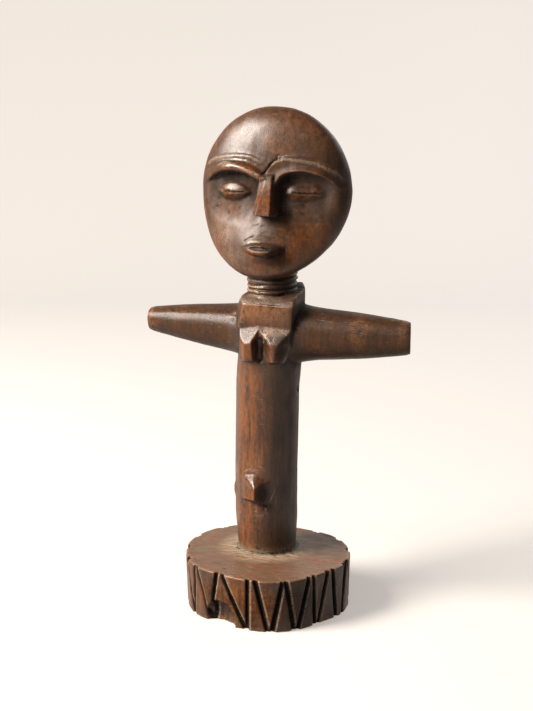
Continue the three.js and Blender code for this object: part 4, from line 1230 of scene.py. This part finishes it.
def makeCamera():
    data = bpy.data.cameras.new("camera")
    data.sensor_width = camera["film"]
    data.lens = camera["focal"] * camera["film"] / camera["frameHeight"]
    eye = bpy.data.objects.new("camera", data)
    eye.location = camera["place"]
    eye.rotation_euler = (radians(90 - camera["down"]), 0, radians(camera["turn"]))
    bpy.context.scene.collection.objects.link(eye)
    bpy.context.scene.camera = eye


lights = {
    # bearing from -Y towards +X, height angle, distance in metres, width, height, watts, colour
    "window": (-53, 33, 1.1, 0.55, 0.6, 38, "fff6ec"),
    "room": (-15, 38, 1.4, 1.3, 0.9, 2.6, "fff2e6"),
    "behind": (155, 24, 1.1, 1.2, 0.5, 5, "f4f4f6"),
}


def makeLamp(name, place, aim, width, height, watts, colour="ffffff"):
    data = bpy.data.lights.new(name, "AREA")
    data.shape = "RECTANGLE"
    data.size, data.size_y = width, height
    data.energy = watts
    data.color = linear(colour)[:3]
    lamp = bpy.data.objects.new(name, data)
    lamp.location = place
    lamp.rotation_euler = (Vector(place) - Vector(aim)).to_track_quat("Z", "Y").to_euler()
    bpy.context.scene.collection.objects.link(lamp)


def makeLights():
    target = Vector((0, 0, 0.13))
    for name, (bearing, up, away, width, height, watts, colour) in lights.items():
        level = np.cos(radians(up))
        towards = Vector((np.sin(radians(bearing)) * level, -np.cos(radians(bearing)) * level, np.sin(radians(up))))
        makeLamp(name, target + towards * away, target, width, height, watts, colour)
    world = bpy.data.worlds.new("room")
    bpy.context.scene.world = world
    world.use_nodes = True
    tree = world.node_tree
    light = tree.nodes["Background"]
    light.inputs["Color"].default_value = linear("c6cad4")
    light.inputs["Strength"].default_value = 0.25
    # the camera sees the paper's tone beyond its edge
    seen = addNode(tree, "ShaderNodeBackground", {"Color": linear("f4f0ea"), "Strength": 0.49})
    ray = addNode(tree, "ShaderNodeLightPath").outputs["Is Camera Ray"]
    both = addNode(tree, "ShaderNodeMixShader", {0: ray, 1: light.outputs[0], 2: seen.outputs[0]})
    tree.links.new(both.outputs[0], tree.nodes["World Output"].inputs["Surface"])


def makeFigure():
    skin = fuse([discSurface(), bodySurface(), armSurface(rightArm), armSurface(leftArm), neckSurface(), headSurface()])
    edges = meshEdges(skin)
    points = smoothed(meshPoints(skin), edges, 2, 0.4)
    moveTo(skin, points)
    normals = meshNormals(skin)
    points = points + normals * unevenness(points)[:, None]
    points[:, 2] = np.maximum(points[:, 2], 0)
    moveTo(skin, points)
    points, dark, pale = carveMarks(points, meshNormals(skin))
    moveTo(skin, points)
    print("carved")
    faces = np.array([polygon.vertices[:] + (polygon.vertices[0],) * (4 - len(polygon.vertices))
                      for polygon in skin.polygons])
    for name, values in readSurface(points, meshNormals(skin), edges, faces, dark, pale).items():
        skin.attributes.new(name, "FLOAT", "POINT").data.foreach_set("value", values.astype(np.float32))
    print("surface read")
    skin.polygons.foreach_set("use_smooth", np.ones(len(skin.polygons), bool))
    skin.name = "akuaba"
    figure = bpy.data.objects.new("akuaba", skin)
    bpy.context.scene.collection.objects.link(figure)
    skin.materials.clear()
    skin.materials.append(stainedHardwood())
    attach(figure, "root")
    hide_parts("akuaba_figure")
    return figure


makeCamera()
makeFloor()
makeLights()
makeFigure()
bpy.context.scene.view_settings.view_transform = "Standard"
